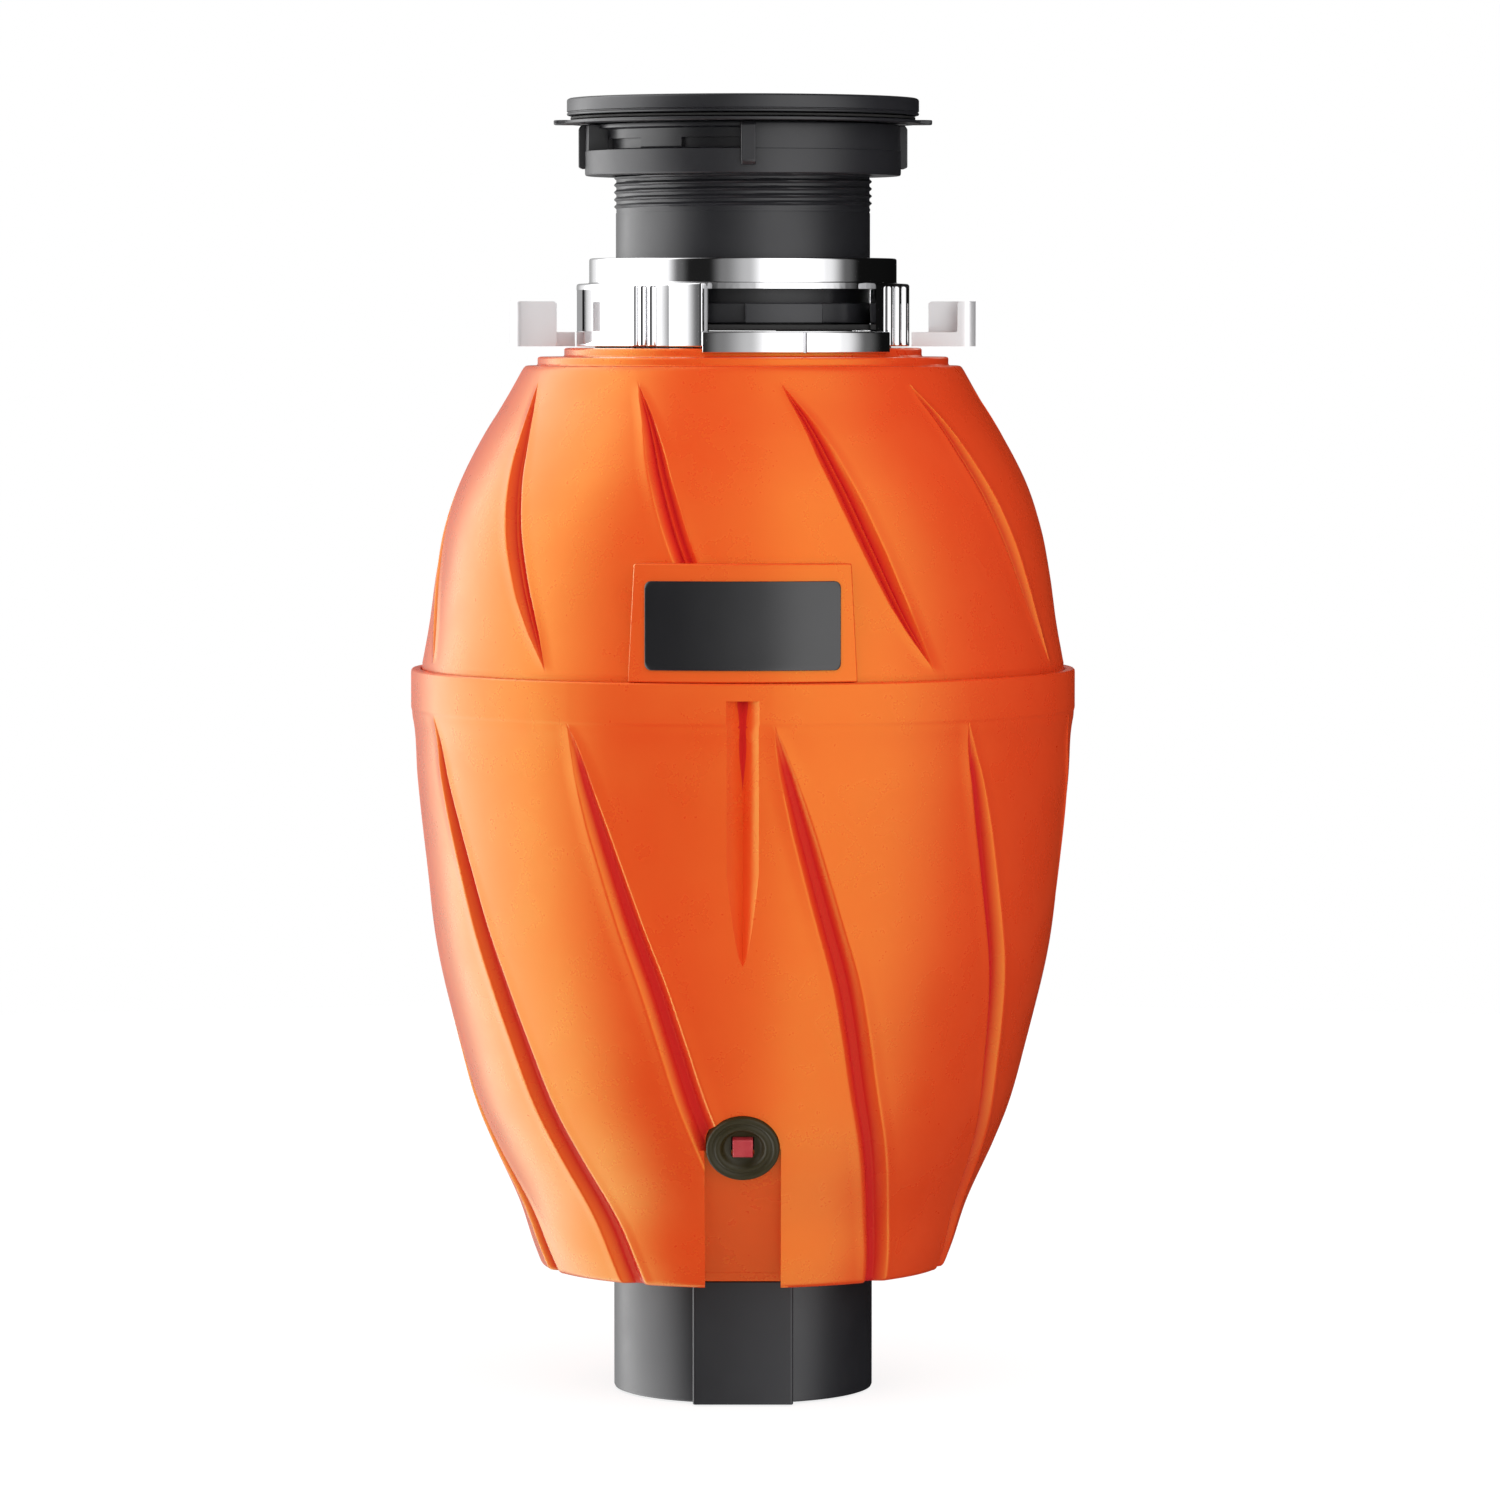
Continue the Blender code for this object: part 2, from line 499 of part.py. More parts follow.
start_relay = box("start_relay", (62.6, -11.0, 140.0), (80.0, 11.0, 174.0), (BLACK, 0.45, 0.0))
start_relay.matrix_world = Matrix.Rotation(math.radians(45.0), 4, 'Z')

# ---------------------------------------------------------------- rotor
motor_shaft = turned("motor_shaft", [(0.0, 270.0), (5.4, 270.0), (5.4, 257.7), (SHAFT_R, 257.7), (SHAFT_R, 56.0),
                                     (5.0, 56.0), (5.0, 25.0), (0.0, 25.0)], 24, (STEEL, 0.25, 1.0))
rotor_core = turned("rotor_core", [(ROTOR_R, 167.0), (ROTOR_R, 93.0), (SHAFT_R + 0.35, 93.0), (SHAFT_R + 0.35, 167.0)],
                    N_MID, (LAMINATE, 0.4, 1.0))
rotor_end_ring_upper = turned("rotor_end_ring_upper", [(29.0, 178.0), (31.0, 167.3), (17.0, 167.3), (19.0, 178.0)], 24,
                              (PALE, 0.4, 1.0))
rotor_end_ring_lower = turned("rotor_end_ring_lower", [(31.0, 92.7), (29.0, 82.0), (19.0, 82.0), (17.0, 92.7)], 24,
                              (PALE, 0.4, 1.0))
wrench_socket = rod("wrench_socket", 8.0, 12.0, 40.0, seg=18, look=(STEEL, 0.3, 1.0))
boolean(wrench_socket, rod("socket_hex", 3.8, 8.0, 22.0, seg=6, cutter=True))
boolean(wrench_socket, rod("socket_bore", 5.4, 24.6, 45.0, seg=16, cutter=True))

holes = [circle(5.7, 16)]
for ring_r, count, hole_r, phase in ((22.0, 6, 2.4, 30.0), (53.0, 8, 2.6, 22.5)):
    holes += [circle(hole_r, 6, polar(ring_r, 360.0 / count * k + phase)) for k in range(count)]
holes += [circle(3.4, 12, (IMPELLER_R, 0.0)), circle(3.4, 12, (-IMPELLER_R, 0.0))]
grinding_disc = plate("grinding_disc", [circle(DISC_R, 32)] + holes, DISC_Z[0], DISC_Z[1], (STEEL, 0.3, 1.0))
disc_nut = rod("disc_nut", 10.0, 260.8, 267.0, seg=6, look=(STEEL, 0.3, 1.0))
boolean(disc_nut, rod("nut_bore", 5.7, 255.0, 275.0, seg=20, cutter=True))

pins, impellers = [], []
for tag, side in (("a", 1.0), ("b", -1.0)):
    pin = turned(f"impeller_pin_{tag}", [(0.0, 269.3), (4.8, 269.3), (5.2, 268.6), (5.2, 267.6), (3.0, 267.6),
                                         (3.0, 257.6), (4.6, 257.6), (4.6, 255.9), (0.0, 255.9)], 16,
                 (STEEL, 0.3, 1.0))
    pin.location = (side * IMPELLER_R * MM, 0.0, 0.0)
    pins.append(pin)
    # a foot round the pin and an upright hammer at its free end
    foot = plate(f"impeller_{tag}", [[(-7.5, -5.5), (-4.5, -7.5), (4.0, -8.0), (20.5, -6.5), (21.8, -3.0), (21.8, 3.0),
                                      (20.5, 6.5), (4.0, 8.0), (-4.5, 7.5), (-7.5, 5.5)],
                                     circle(3.4, 14)], 260.9, 267.2, (STEEL, 0.3, 1.0))
    lug = box(f"hammer_{tag}", (12.0, -6.0, 264.0), (20.6, 6.0, 277.0), cutter=True)
    boolean(foot, lug, 'UNION')
    place = Matrix.Translation((side * IMPELLER_R * MM, 0.0, 0.0)) @ Matrix.Rotation(0.0 if side > 0 else math.pi, 4, 'Z')
    foot.matrix_world = place @ foot.matrix_world
    lug.matrix_world = place @ lug.matrix_world
    impellers.append(foot)

# ---------------------------------------------------------------- grind chamber
teeth_in = []
TEETH = 24
for k in range(TEETH):
    a = 360.0 / TEETH * k
    teeth_in += [(RING_R_IN, a - 4.6), (RING_R_IN, a + 4.6), (RING_R_IN + 1.1, a + 5.2), (RING_R_IN + 1.1, a + 9.8)]
shredder_ring = plate("shredder_ring", [circle(RING_R_OUT, N_SHELL), [polar(r, a) for r, a in teeth_in]],
                      RING_Z[0], RING_Z[1], (STEEL, 0.3, 1.0))
chamber_gasket = turned("chamber_gasket", [(75.4, 256.3), (75.4, 254.3), (67.5, 254.3), (67.5, 256.3)], N_MID,
                        (RUBBER, 0.7, 0.0))
hopper = turned("hopper", [(50.6, 338.2), (50.6, 336.0), (47.2, 336.0), (47.2, 321.0), (56.0, 316.5), (66.0, 308.5),
                           (70.0, 300.0), (70.0, 263.0), (76.0, 260.0), (76.0, 256.6), (67.3, 256.6), (67.3, 299.5),
                           (63.8, 306.5), (54.5, 313.8), (44.2, 318.5), (44.2, 338.2)], N_SHELL, (PALE, 0.5, 0.0))
boolean(hopper, rod_along("nipple_tube", NIPPLE_R, on_inlet_axis(68.5), on_inlet_axis(NIPPLE_END), N_SMALL,
                          cutter=True), 'UNION')
boolean(hopper, rod_along("nipple_bore", NIPPLE_BORE, on_inlet_axis(55), on_inlet_axis(110), N_SMALL, cutter=True))
dishwasher_plug = rod_along("dishwasher_plug", NIPPLE_BORE - 0.4, on_inlet_axis(69), on_inlet_axis(72.5), N_SMALL,
                            (PALE, 0.5, 0.0))
# band that draws the hopper's flange on to the drain housing's flange
clamp_band = turned("clamp_band", [(78.2, 262.6), (78.2, 248.0), (73.6, 248.0), (76.4, 250.2), (76.4, 260.4), (73.6, 262.6)],
                    N_SHELL, (STEEL, 0.3, 1.0))
boolean(clamp_band, rod_along("band_notch", OUTLET_R + 0.5, (0, 60, OUTLET_Z), (0, 90, OUTLET_Z), 20, cutter=True))
insulation_upper = turned("insulation_upper", [(76.5, 306.0), (84.0, 289.2), (91.0, 266.0), (78.8, 266.0), (70.6, 268.0),
                                               (70.6, 299.0), (70.6, 306.0)], N_MID, (FOAM, 0.9, 0.0))
boolean(insulation_upper, rod_along("foam_hole", NIPPLE_R + 0.8, on_inlet_axis(60), on_inlet_axis(100), N_SMALL,
                                    cutter=True))

# ---------------------------------------------------------------- sink mount
threaded_sleeve = turned("threaded_sleeve",
                         [(54.6, 412.2), (RIM_R, 411.0), (RIM_R, RIM_Z0), (THREAD_R, RIM_Z0), (THREAD_R, THREAD_Z[0]),
                          (SLEEVE_R, THREAD_Z[0] - 0.7), (SLEEVE_R, SLEEVE_Z[0]), (SLEEVE_BORE, SLEEVE_Z[0]),
                          (SLEEVE_BORE, 381.0), (36.0, 382.2), (36.0, 384.2), (38.4, 384.2), (38.4, 403.0),
                          (42.5, 409.2), (50.0, 410.6)], N_SHELL, (BLACK, 0.4, 0.0))

flange_gasket = turned("flange_gasket", [(55.0, 406.3), (55.0, 405.4), (41.7, 405.4), (41.7, 406.3)], N_MID,
                       (RUBBER, 0.7, 0.0))
ear = 5.2
ring_outline = arc(56.6, 8.0, 172.0, 18) + [(-60.3, ear), (-60.3, -ear)] + arc(56.6, 188.0, 352.0, 18) + [
    (60.3, -ear), (60.3, ear)]
backup_ring = plate("backup_ring", [ring_outline, circle(41.8, N_MID)], 404.1, 405.1, (BLACK, 0.45, 0.0))

mounting_nut = turned("mounting_nut",
                      [(46.5, NUT_Z[1]), (46.5, 402.3), (NUT_WALL_R, 402.3), (NUT_WALL_R, 395.5), (NUT_BAND_R, 395.5),
                       (NUT_BAND_R, NUT_Z[0] + 0.6), (NUT_BAND_R - 0.8, NUT_Z[0]), (NUT_BORE, NUT_Z[0]),
                       (NUT_BORE, NUT_Z[1])], N_SHELL, (BLACK, 0.42, 0.0))
for i in range(8):
    rib = box(f"nut_rib_{i}", (42.4, -1.75, 390.0), (52.4, 1.75, NUT_Z[1]), cutter=True)
    rib.matrix_world = Matrix.Rotation(math.radians(45.0 * i), 4, 'Z')
    boolean(mounting_nut, rib, 'UNION')

LOCK_IN = LOCK_SKIRT_R - 1.9
lock_ring = turned("lock_ring", [(LOCK_COLLAR_R, LOCK_TOP_Z), (LOCK_COLLAR_R, 353.6), (LOCK_SKIRT_R, LOCK_Z[1]),
                                 (LOCK_SKIRT_R, LOCK_Z[0]), (48.0, LOCK_Z[0]), (48.0, 335.3), (LOCK_IN, 335.3),
                                 (LOCK_IN, 351.4), (41.4, 351.4), (41.4, LOCK_TOP_Z)], 24, (CHROME, 0.12, 1.0))
# windows in the skirt; angles are from the front towards +X
for i, (a0, a1) in enumerate(((-12.0, 52.0), (88.0, 133.0), (168.0, 232.0), (268.0, 313.0))):
    boolean(lock_ring, sector(f"lock_window_{i}", 50.6, 60.0, a0 - 90.0, a1 - 90.0, 338.3, 351.3, 8))
band = sector("front_band", 52.6, 58.4, -12.5 - 90.0, 53.0 - 90.0, LOCK_Z[0], 338.2, 8)
boolean(lock_ring, band, 'UNION')

# hooked lugs: a strip on edge that rises at its outer end and turns back on itself
T_LUG, Y_LUG = 1.5, 4.2
x_in = 53.6
u_out = [(x_in, -Y_LUG - T_LUG / 2)] + \
        [(LUG_R - 5.0 + 5.0 * math.cos(t), (Y_LUG + T_LUG / 2) * math.sin(t))
         for t in [math.radians(-90 + 22.5 * k) for k in range(9)]] + [(59.2, Y_LUG + T_LUG / 2)]
u_in = [(59.2, Y_LUG - T_LUG / 2)] + \
       [(LUG_R - 5.0 + (5.0 - T_LUG) * math.cos(t), (Y_LUG - T_LUG / 2) * math.sin(t))
        for t in [math.radians(90 - 22.5 * k) for k in range(9)]] + [(x_in, -Y_LUG + T_LUG / 2)]
lugs = []
for name, turn in (("lock_lug_right", 0.0), ("lock_lug_left", math.pi)):
    lug = plate(name, [u_out + u_in], LOCK_Z[0], LUG_TOP_Z, (CHROME, 0.12, 1.0))
    trim = box(name + "_trim", (40.0, -20.0, LUG_ARM_Z), (LUG_R - 6.1, 0.0, 360.0), cutter=True)
    boolean(lug, trim)
    lug.matrix_world = Matrix.Rotation(turn, 4, 'Z') @ lug.matrix_world
    trim.matrix_world = Matrix.Rotation(turn, 4, 'Z') @ trim.matrix_world
    lugs.append(lug)

# black collar on the sleeve's lower end, with bayonet tabs that the lock ring holds
bayonet_collar = turned("bayonet_collar", [(45.0, 347.2), (45.0, 340.8), (40.9, 340.8), (40.9, 347.2)], N_MID,
                        (BLACK, 0.4, 0.0))
for i, mid in enumerate((15.4, 105.4, 195.4, 285.4)):
    boolean(bayonet_collar, sector(f"tab_{i}", 43.0, 50.4, mid - 14.6 - 90.0, mid + 14.6 - 90.0, 340.8, 347.2, 5),
            'UNION')
mount_gasket = turned("mount_gasket", [(50.2, 340.5), (50.2, 338.5), (40.9, 338.5), (40.9, 340.5)], N_MID,
                      (RUBBER, 0.7, 0.0))

splash_guard = turned("splash_guard", [(38.0, 400.0), (38.0, 384.5), (36.0, 384.5), (36.0, 397.6), (30.0, 394.6),
                                       (13.0, 389.5), (13.0, 391.4), (29.4, 396.6), (36.0, 400.0)], N_MID,
                      (RUBBER, 0.6, 0.0))

# ---------------------------------------------------------------- what moves with what
hang(axis_empty("rotor_axis"), motor_shaft, rotor_core, rotor_end_ring_upper, rotor_end_ring_lower, wrench_socket,
     grinding_disc, disc_nut, *pins)
for side, foot, tag in ((1.0, impellers[0], "a"), (-1.0, impellers[1], "b")):
    hang(axis_empty(f"impeller_{tag}_axis", (side * IMPELLER_R, 0.0, 262.0)), foot)
hang(axis_empty("lock_axis", (0.0, 0.0, 340.0)), lock_ring, *lugs)
hang(axis_empty("clamp_axis", (0.0, 0.0, 405.0)), backup_ring, flange_gasket)
hang(axis_empty("nut_axis", (0.0, 0.0, 395.0)), mounting_nut)
hang(axis_empty("guard_axis", (0.0, 0.0, 390.0)), splash_guard)
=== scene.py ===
import json
import math

import bmesh
import bpy
import numpy as np
from mathutils import Matrix, Vector


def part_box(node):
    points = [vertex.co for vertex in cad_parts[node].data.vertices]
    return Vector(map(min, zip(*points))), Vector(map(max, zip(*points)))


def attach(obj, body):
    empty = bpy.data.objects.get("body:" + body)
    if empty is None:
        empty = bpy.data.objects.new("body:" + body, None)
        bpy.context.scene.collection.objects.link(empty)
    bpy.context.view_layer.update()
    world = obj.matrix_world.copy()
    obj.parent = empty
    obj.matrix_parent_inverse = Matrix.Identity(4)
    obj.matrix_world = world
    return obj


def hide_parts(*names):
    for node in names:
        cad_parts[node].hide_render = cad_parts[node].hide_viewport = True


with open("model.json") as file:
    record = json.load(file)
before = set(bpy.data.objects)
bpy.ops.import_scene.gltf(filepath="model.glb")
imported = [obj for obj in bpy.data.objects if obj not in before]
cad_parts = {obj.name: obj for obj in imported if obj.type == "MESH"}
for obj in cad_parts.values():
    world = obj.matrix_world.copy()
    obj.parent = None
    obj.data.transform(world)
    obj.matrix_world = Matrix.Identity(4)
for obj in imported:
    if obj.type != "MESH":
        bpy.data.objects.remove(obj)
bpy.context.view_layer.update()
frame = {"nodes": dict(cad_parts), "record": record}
MM = 0.001
SLOT = {s["node"]: s["material_slot"] for s in frame["record"]["subparts"]}


# ------------------------------------------------------------------ materials
def nodes_of(name):
    mat = bpy.data.materials.new(name)
    mat.use_nodes = True
    nt = mat.node_tree
    return mat, nt, nt.nodes["Principled BSDF"]


def noise(nt, scale, detail=3.0, rough=0.5, stretch=None):
    """Noise in object space, on metres, stretched where wanted."""
    co = nt.nodes.new("ShaderNodeTexCoord")
    out = co.outputs["Object"]
    if stretch:
        mp = nt.nodes.new("ShaderNodeMapping")
        mp.inputs["Scale"].default_value = stretch
        nt.links.new(out, mp.inputs["Vector"])
        out = mp.outputs["Vector"]
    n = nt.nodes.new("ShaderNodeTexNoise")
    n.inputs["Scale"].default_value = scale
    n.inputs["Detail"].default_value = detail
    n.inputs["Roughness"].default_value = rough
    nt.links.new(out, n.inputs["Vector"])
    return n.outputs["Fac"]


def ramp(nt, fac, a, b, lo, hi):
    r = nt.nodes.new("ShaderNodeMapRange")
    r.inputs["From Min"].default_value = a
    r.inputs["From Max"].default_value = b
    r.inputs["To Min"].default_value = lo
    r.inputs["To Max"].default_value = hi
    nt.links.new(fac, r.inputs["Value"])
    return r.outputs["Result"]


def mix(nt, fac, a, b):
    """Colour a to colour b; either is a colour or a socket."""
    m = nt.nodes.new("ShaderNodeMix")
    m.data_type = "RGBA"
    nt.links.new(fac, m.inputs[0])
    for i, c in ((6, a), (7, b)):
        if isinstance(c, tuple):
            m.inputs[i].default_value = (*c, 1.0)
        else:
            nt.links.new(c, m.inputs[i])
    return m.outputs[2]


def bump(nt, bsdf, fac, strength, distance):
    b = nt.nodes.new("ShaderNodeBump")
    b.inputs["Strength"].default_value = strength
    b.inputs["Distance"].default_value = distance
    nt.links.new(fac, b.inputs["Height"])
    nt.links.new(b.outputs["Normal"], bsdf.inputs["Normal"])


def finish_material(name, a, b, rough, metal=0.0, grain=1500.0, depth=0.00004, strength=0.25,
                    big=14.0, stretch=None, edge=None, coat=0.0, coat_rough=0.2, spec=0.5, groove=None,
                    big_stretch=None, edge_at=(0.52, 0.60), ior=1.5, tint=(1.0, 1.0, 1.0)):
    """Two close colours mixed by broad noise, a fine grain in the surface and a gloss that varies a little; given
    groove, a darker colour and lower gloss are painted into recesses as shade.
    """
    mat, nt, bsdf = nodes_of(name)
    col = mix(nt, ramp(nt, noise(nt, big, 4.0, 0.6, big_stretch), 0.35, 0.65, 0.0, 1.0), a, b)
    # painted shade: the 'recess' attribute mixes the groove colour into grooves and notches, where shade falls
    if groove:
        at = nt.nodes.new("ShaderNodeAttribute")
        at.attribute_name = "recess"
        col = mix(nt, at.outputs["Fac"], col, groove)
    if edge:
        geo = nt.nodes.new("ShaderNodeNewGeometry")
        scratch = ramp(nt, noise(nt, 260.0, 5.0, 0.7), 0.40, 0.62, 0.25, 1.0)
        worn = ramp(nt, geo.outputs["Pointiness"], edge_at[0], edge_at[1], 0.0, 1.0)
        mul = nt.nodes.new("ShaderNodeMath")
        mul.operation = "MULTIPLY"
        nt.links.new(scratch, mul.inputs[0])
        nt.links.new(worn, mul.inputs[1])
        col = mix(nt, mul.outputs[0], col, edge)
    nt.links.new(col, bsdf.inputs["Base Color"])
    bsdf.inputs["Metallic"].default_value = metal
    bsdf.inputs["Coat Weight"].default_value = coat
    bsdf.inputs["Coat Roughness"].default_value = coat_rough
    bsdf.inputs["Specular IOR Level"].default_value = spec
    # painted shade: the gloss is lowered where the 'recess' attribute marks a groove, as if the groove lay in shadow
    if groove:
        nt.links.new(ramp(nt, at.outputs["Fac"], 0.0, 0.9, spec, spec * 0.15), bsdf.inputs["Specular IOR Level"])
    bsdf.inputs["IOR"].default_value = ior
    bsdf.inputs["Specular Tint"].default_value = (*tint, 1.0)
    nt.links.new(ramp(nt, noise(nt, 55.0, 5.0, 0.65, big_stretch), 0.3, 0.7, rough * 0.88, rough * 1.14),
                 bsdf.inputs["Roughness"])
    bump(nt, bsdf, noise(nt, grain, 2.0, 0.55, stretch), strength, depth)
    return mat


M = {
    # groove is a deeper red painted into the grooves and the centre notch as shade; the plastic itself is one orange
    "orange_plastic": finish_material("moulded_orange", (0.80, 0.054, 0.0110), (0.83, 0.060, 0.0130), 0.28,
                                      grain=900.0, depth=0.00001, strength=0.04, spec=0.50, ior=1.86,
                                      tint=(0.55, 1.0, 0.16), groove=(0.62, 0.016, 0.018)),
    "black_plastic": finish_material("moulded_black", (0.012, 0.012, 0.014), (0.017, 0.017, 0.020), 0.36,
                                     grain=1100.0, depth=0.00002, strength=0.06, spec=0.5),
    "gloss_black": finish_material("polished_black", (0.010, 0.010, 0.011), (0.016, 0.016, 0.018), 0.24,
                                   grain=900.0, depth=0.00001, strength=0.08, coat=0.25, coat_rough=0.12, spec=0.5),
    "bezel_plastic": finish_material("olive_black", (0.020, 0.015, 0.002), (0.028, 0.021, 0.004), 0.45,
                                     grain=2400.0, depth=0.00003, strength=0.25, spec=0.3),
    "red_plastic": finish_material("signal_red", (0.42, 0.016, 0.028), (0.50, 0.022, 0.034), 0.35, grain=1800.0,
                                   depth=0.00002, strength=0.2, edge=(0.65, 0.10, 0.10)),
    "pale_plastic": finish_material("filled_grey", (0.40, 0.41, 0.42), (0.48, 0.49, 0.50), 0.5, grain=1400.0,
                                    depth=0.00006, strength=0.3),
    "rubber_black": finish_material("rubber", (0.012, 0.012, 0.012), (0.022, 0.021, 0.021), 0.62, grain=1200.0,
                                    depth=0.00008, strength=0.35, spec=0.35),
    "chrome_metal": finish_material("bright_plating", (0.86, 0.86, 0.87), (0.80, 0.80, 0.815), 0.07, metal=1.0,
                                    grain=420.0, depth=0.00001, strength=0.05),
    "satin_plate": finish_material("satin_plating", (0.86, 0.86, 0.87), (0.80, 0.80, 0.815), 0.38, metal=0.55,
                                   grain=420.0, depth=0.00001, strength=0.05),
    "stainless": finish_material("turned_stainless", (0.50, 0.50, 0.51), (0.60, 0.60, 0.61), 0.26, metal=1.0,
                                 grain=240.0, depth=0.00002, strength=0.2, stretch=(1.0, 1.0, 30.0)),
    "steel_sheet": finish_material("drawn_steel", (0.44, 0.44, 0.46), (0.56, 0.56, 0.58), 0.34, metal=1.0,
                                   grain=200.0, depth=0.00003, strength=0.25, stretch=(12.0, 12.0, 1.0)),
    "cast_metal": finish_material("cast_alloy", (0.40, 0.41, 0.43), (0.50, 0.51, 0.53), 0.5, metal=1.0,
                                  grain=700.0, depth=0.00015, strength=0.4),
    "bronze": finish_material("sintered_bronze", (0.42, 0.25, 0.10), (0.52, 0.32, 0.14), 0.45, metal=1.0,
                              grain=1600.0, depth=0.00008, strength=0.4),
    "copper_wire": finish_material("wound_copper", (0.50, 0.17, 0.06), (0.66, 0.28, 0.11), 0.32, metal=1.0,
                                   grain=420.0, depth=0.0003, strength=0.7, stretch=(1.0, 1.0, 5.0)),
    "laminated_steel": finish_material("laminations", (0.20, 0.20, 0.21), (0.30, 0.30, 0.32), 0.42, metal=1.0,
                                       grain=160.0, depth=0.0002, strength=0.6, stretch=(0.05, 0.05, 12.0)),
    "foam": finish_material("bead_foam", (0.70, 0.69, 0.64), (0.82, 0.81, 0.77), 0.85, grain=380.0,
                            depth=0.0006, strength=0.6, spec=0.2),
}
for node, obj in frame["nodes"].items():
    obj.data.materials.clear()
    obj.data.materials.append(M[SLOT[node]])


# ------------------------------------------------------------------- builders
def piece(name, mesh, mat, body, nodes=(), angle=38.0):
    obj = bpy.data.objects.new(name, mesh)
    bpy.context.scene.collection.objects.link(obj)
    mesh.materials.clear()
    mesh.materials.append(M[mat])
    mesh.shade_smooth()
    mesh.set_sharp_from_angle(angle=math.radians(angle))
    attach(obj, body)
    if nodes:
        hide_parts(*nodes)
    return obj


def mesh_from(name, verts, faces, merge=0.000003):
    """verts in mm."""
    me = bpy.data.meshes.new(name)
    me.from_pydata([tuple(v) for v in np.asarray(verts, float) * MM], [], faces)
    bm = bmesh.new()
    bm.from_mesh(me)
    if merge:
        bmesh.ops.remove_doubles(bm, verts=bm.verts, dist=merge)
        bmesh.ops.dissolve_degenerate(bm, edges=bm.edges, dist=0.0000005)
    bmesh.ops.recalc_face_normals(bm, faces=bm.faces)
    bm.to_mesh(me)
    bm.free()
    return me


def soften(points, rad, seg=4, closed=True):
    """A polyline with its corners rounded; rad is one radius, or one for each point."""
    n = len(points)
    rads = rad if isinstance(rad, (list, tuple)) else [rad] * n
    out = []
    for i, p in enumerate(points):
        if (not closed and i in (0, n - 1)) or rads[i] <= 0:
            out.append(tuple(p))
            continue
        a, b, p = np.array(points[i - 1], float), np.array(points[(i + 1) % n], float), np.array(p, float)
        la, lb = np.linalg.norm(a - p), np.linalg.norm(b - p)
        d = min(rads[i], la * 0.45, lb * 0.45)
        s, e = p + (a - p) / la * d, p + (b - p) / lb * d
        for k in range(seg + 1):
            t = k / seg
            out.append(tuple((1 - t) ** 2 * s + 2 * t * (1 - t) * p + t * t * e))
    return out


def lathe_mesh(name, prof, cols=160, phi0=None, phi1=None, closed=True, rfun=None, zfun=None, merge=0.000003):
    """A profile in r, z turned about Z, or through a part of a turn with flat ends."""
    whole = phi0 is None
    ph = np.radians(np.linspace(0, 360, cols, endpoint=False) if whole else np.linspace(phi0, phi1, cols))
    n = len(prof)
    verts = []
    for r, z in prof:
        rr = np.full(len(ph), float(r)) if rfun is None else rfun(float(r), float(z), ph)
        zz = np.full(len(ph), float(z)) if zfun is None else zfun(float(r), float(z), ph)
        verts.append(np.stack([rr * np.sin(ph), -rr * np.cos(ph), zz], 1))
    verts = np.concatenate(verts)
    c = len(ph)
    faces = []
    for k in range(n if closed else n - 1):
        k2 = (k + 1) % n
        for j in range(c if whole else c - 1):
            j2 = (j + 1) % c
            faces.append((k * c + j, k * c + j2, k2 * c + j2, k2 * c + j))
    if not whole:
        faces.append(tuple(k * c for k in range(n)))
        faces.append(tuple(k * c + c - 1 for k in reversed(range(n))))
    return mesh_from(name, verts, faces, merge)


def lathe(name, prof, mat, body, nodes=(), **kw):
    return piece(name, lathe_mesh(name, prof, **kw), mat, body, nodes)


def prism_mesh(name, outline, z0, z1):
    n = len(outline)
    verts = [(x, y, z0) for x, y in outline] + [(x, y, z1) for x, y in outline]
    faces = [tuple(range(n)), tuple(range(2 * n - 1, n - 1, -1))]
    faces += [(i, (i + 1) % n, n + (i + 1) % n, n + i) for i in range(n)]
    return mesh_from(name, verts, faces)


def bevel(obj, width, seg=3, angle=35.0):
    b = obj.modifiers.new("round", "BEVEL")
    b.width = width * MM
    b.segments = seg
    b.limit_method = "ANGLE"
    b.angle_limit = math.radians(angle)
    b.harden_normals = False
    return obj


def cutter(name, mesh):
    obj = bpy.data.objects.new(name, mesh)
    bpy.context.scene.collection.objects.link(obj)
    return obj


def cut(obj, *cutters):
    """Takes the cutters out of obj for good, and removes them."""
    for c in cutters:
        m = obj.modifiers.new("cut", "BOOLEAN")
        m.operation = "DIFFERENCE"
        m.solver = "EXACT"
        m.object = c
    dg = bpy.context.evaluated_depsgraph_get()
    new = bpy.data.meshes.new_from_object(obj.evaluated_get(dg))
    obj.modifiers.clear()
    old = obj.data
    obj.data = new
    bpy.data.meshes.remove(old)
    for c in cutters:
        bpy.data.objects.remove(c)
    return obj


def tube_mesh(name, prof, origin, direction, cols=64, **kw):
    """A turned profile in r, h about any line: h runs from origin along direction."""
    me = lathe_mesh(name, prof, cols=cols, **kw)
    q = Vector(direction).normalized().to_track_quat("Z", "Y").to_matrix().to_4x4()
    me.transform(Matrix.Translation(Vector(origin) * MM) @ q)
    return me


def disc_block(name, r, z0, z1, cols=64):
    return lathe_mesh(name, [(0, z0), (r, z0), (r, z1), (0, z1)], cols=cols, closed=False)


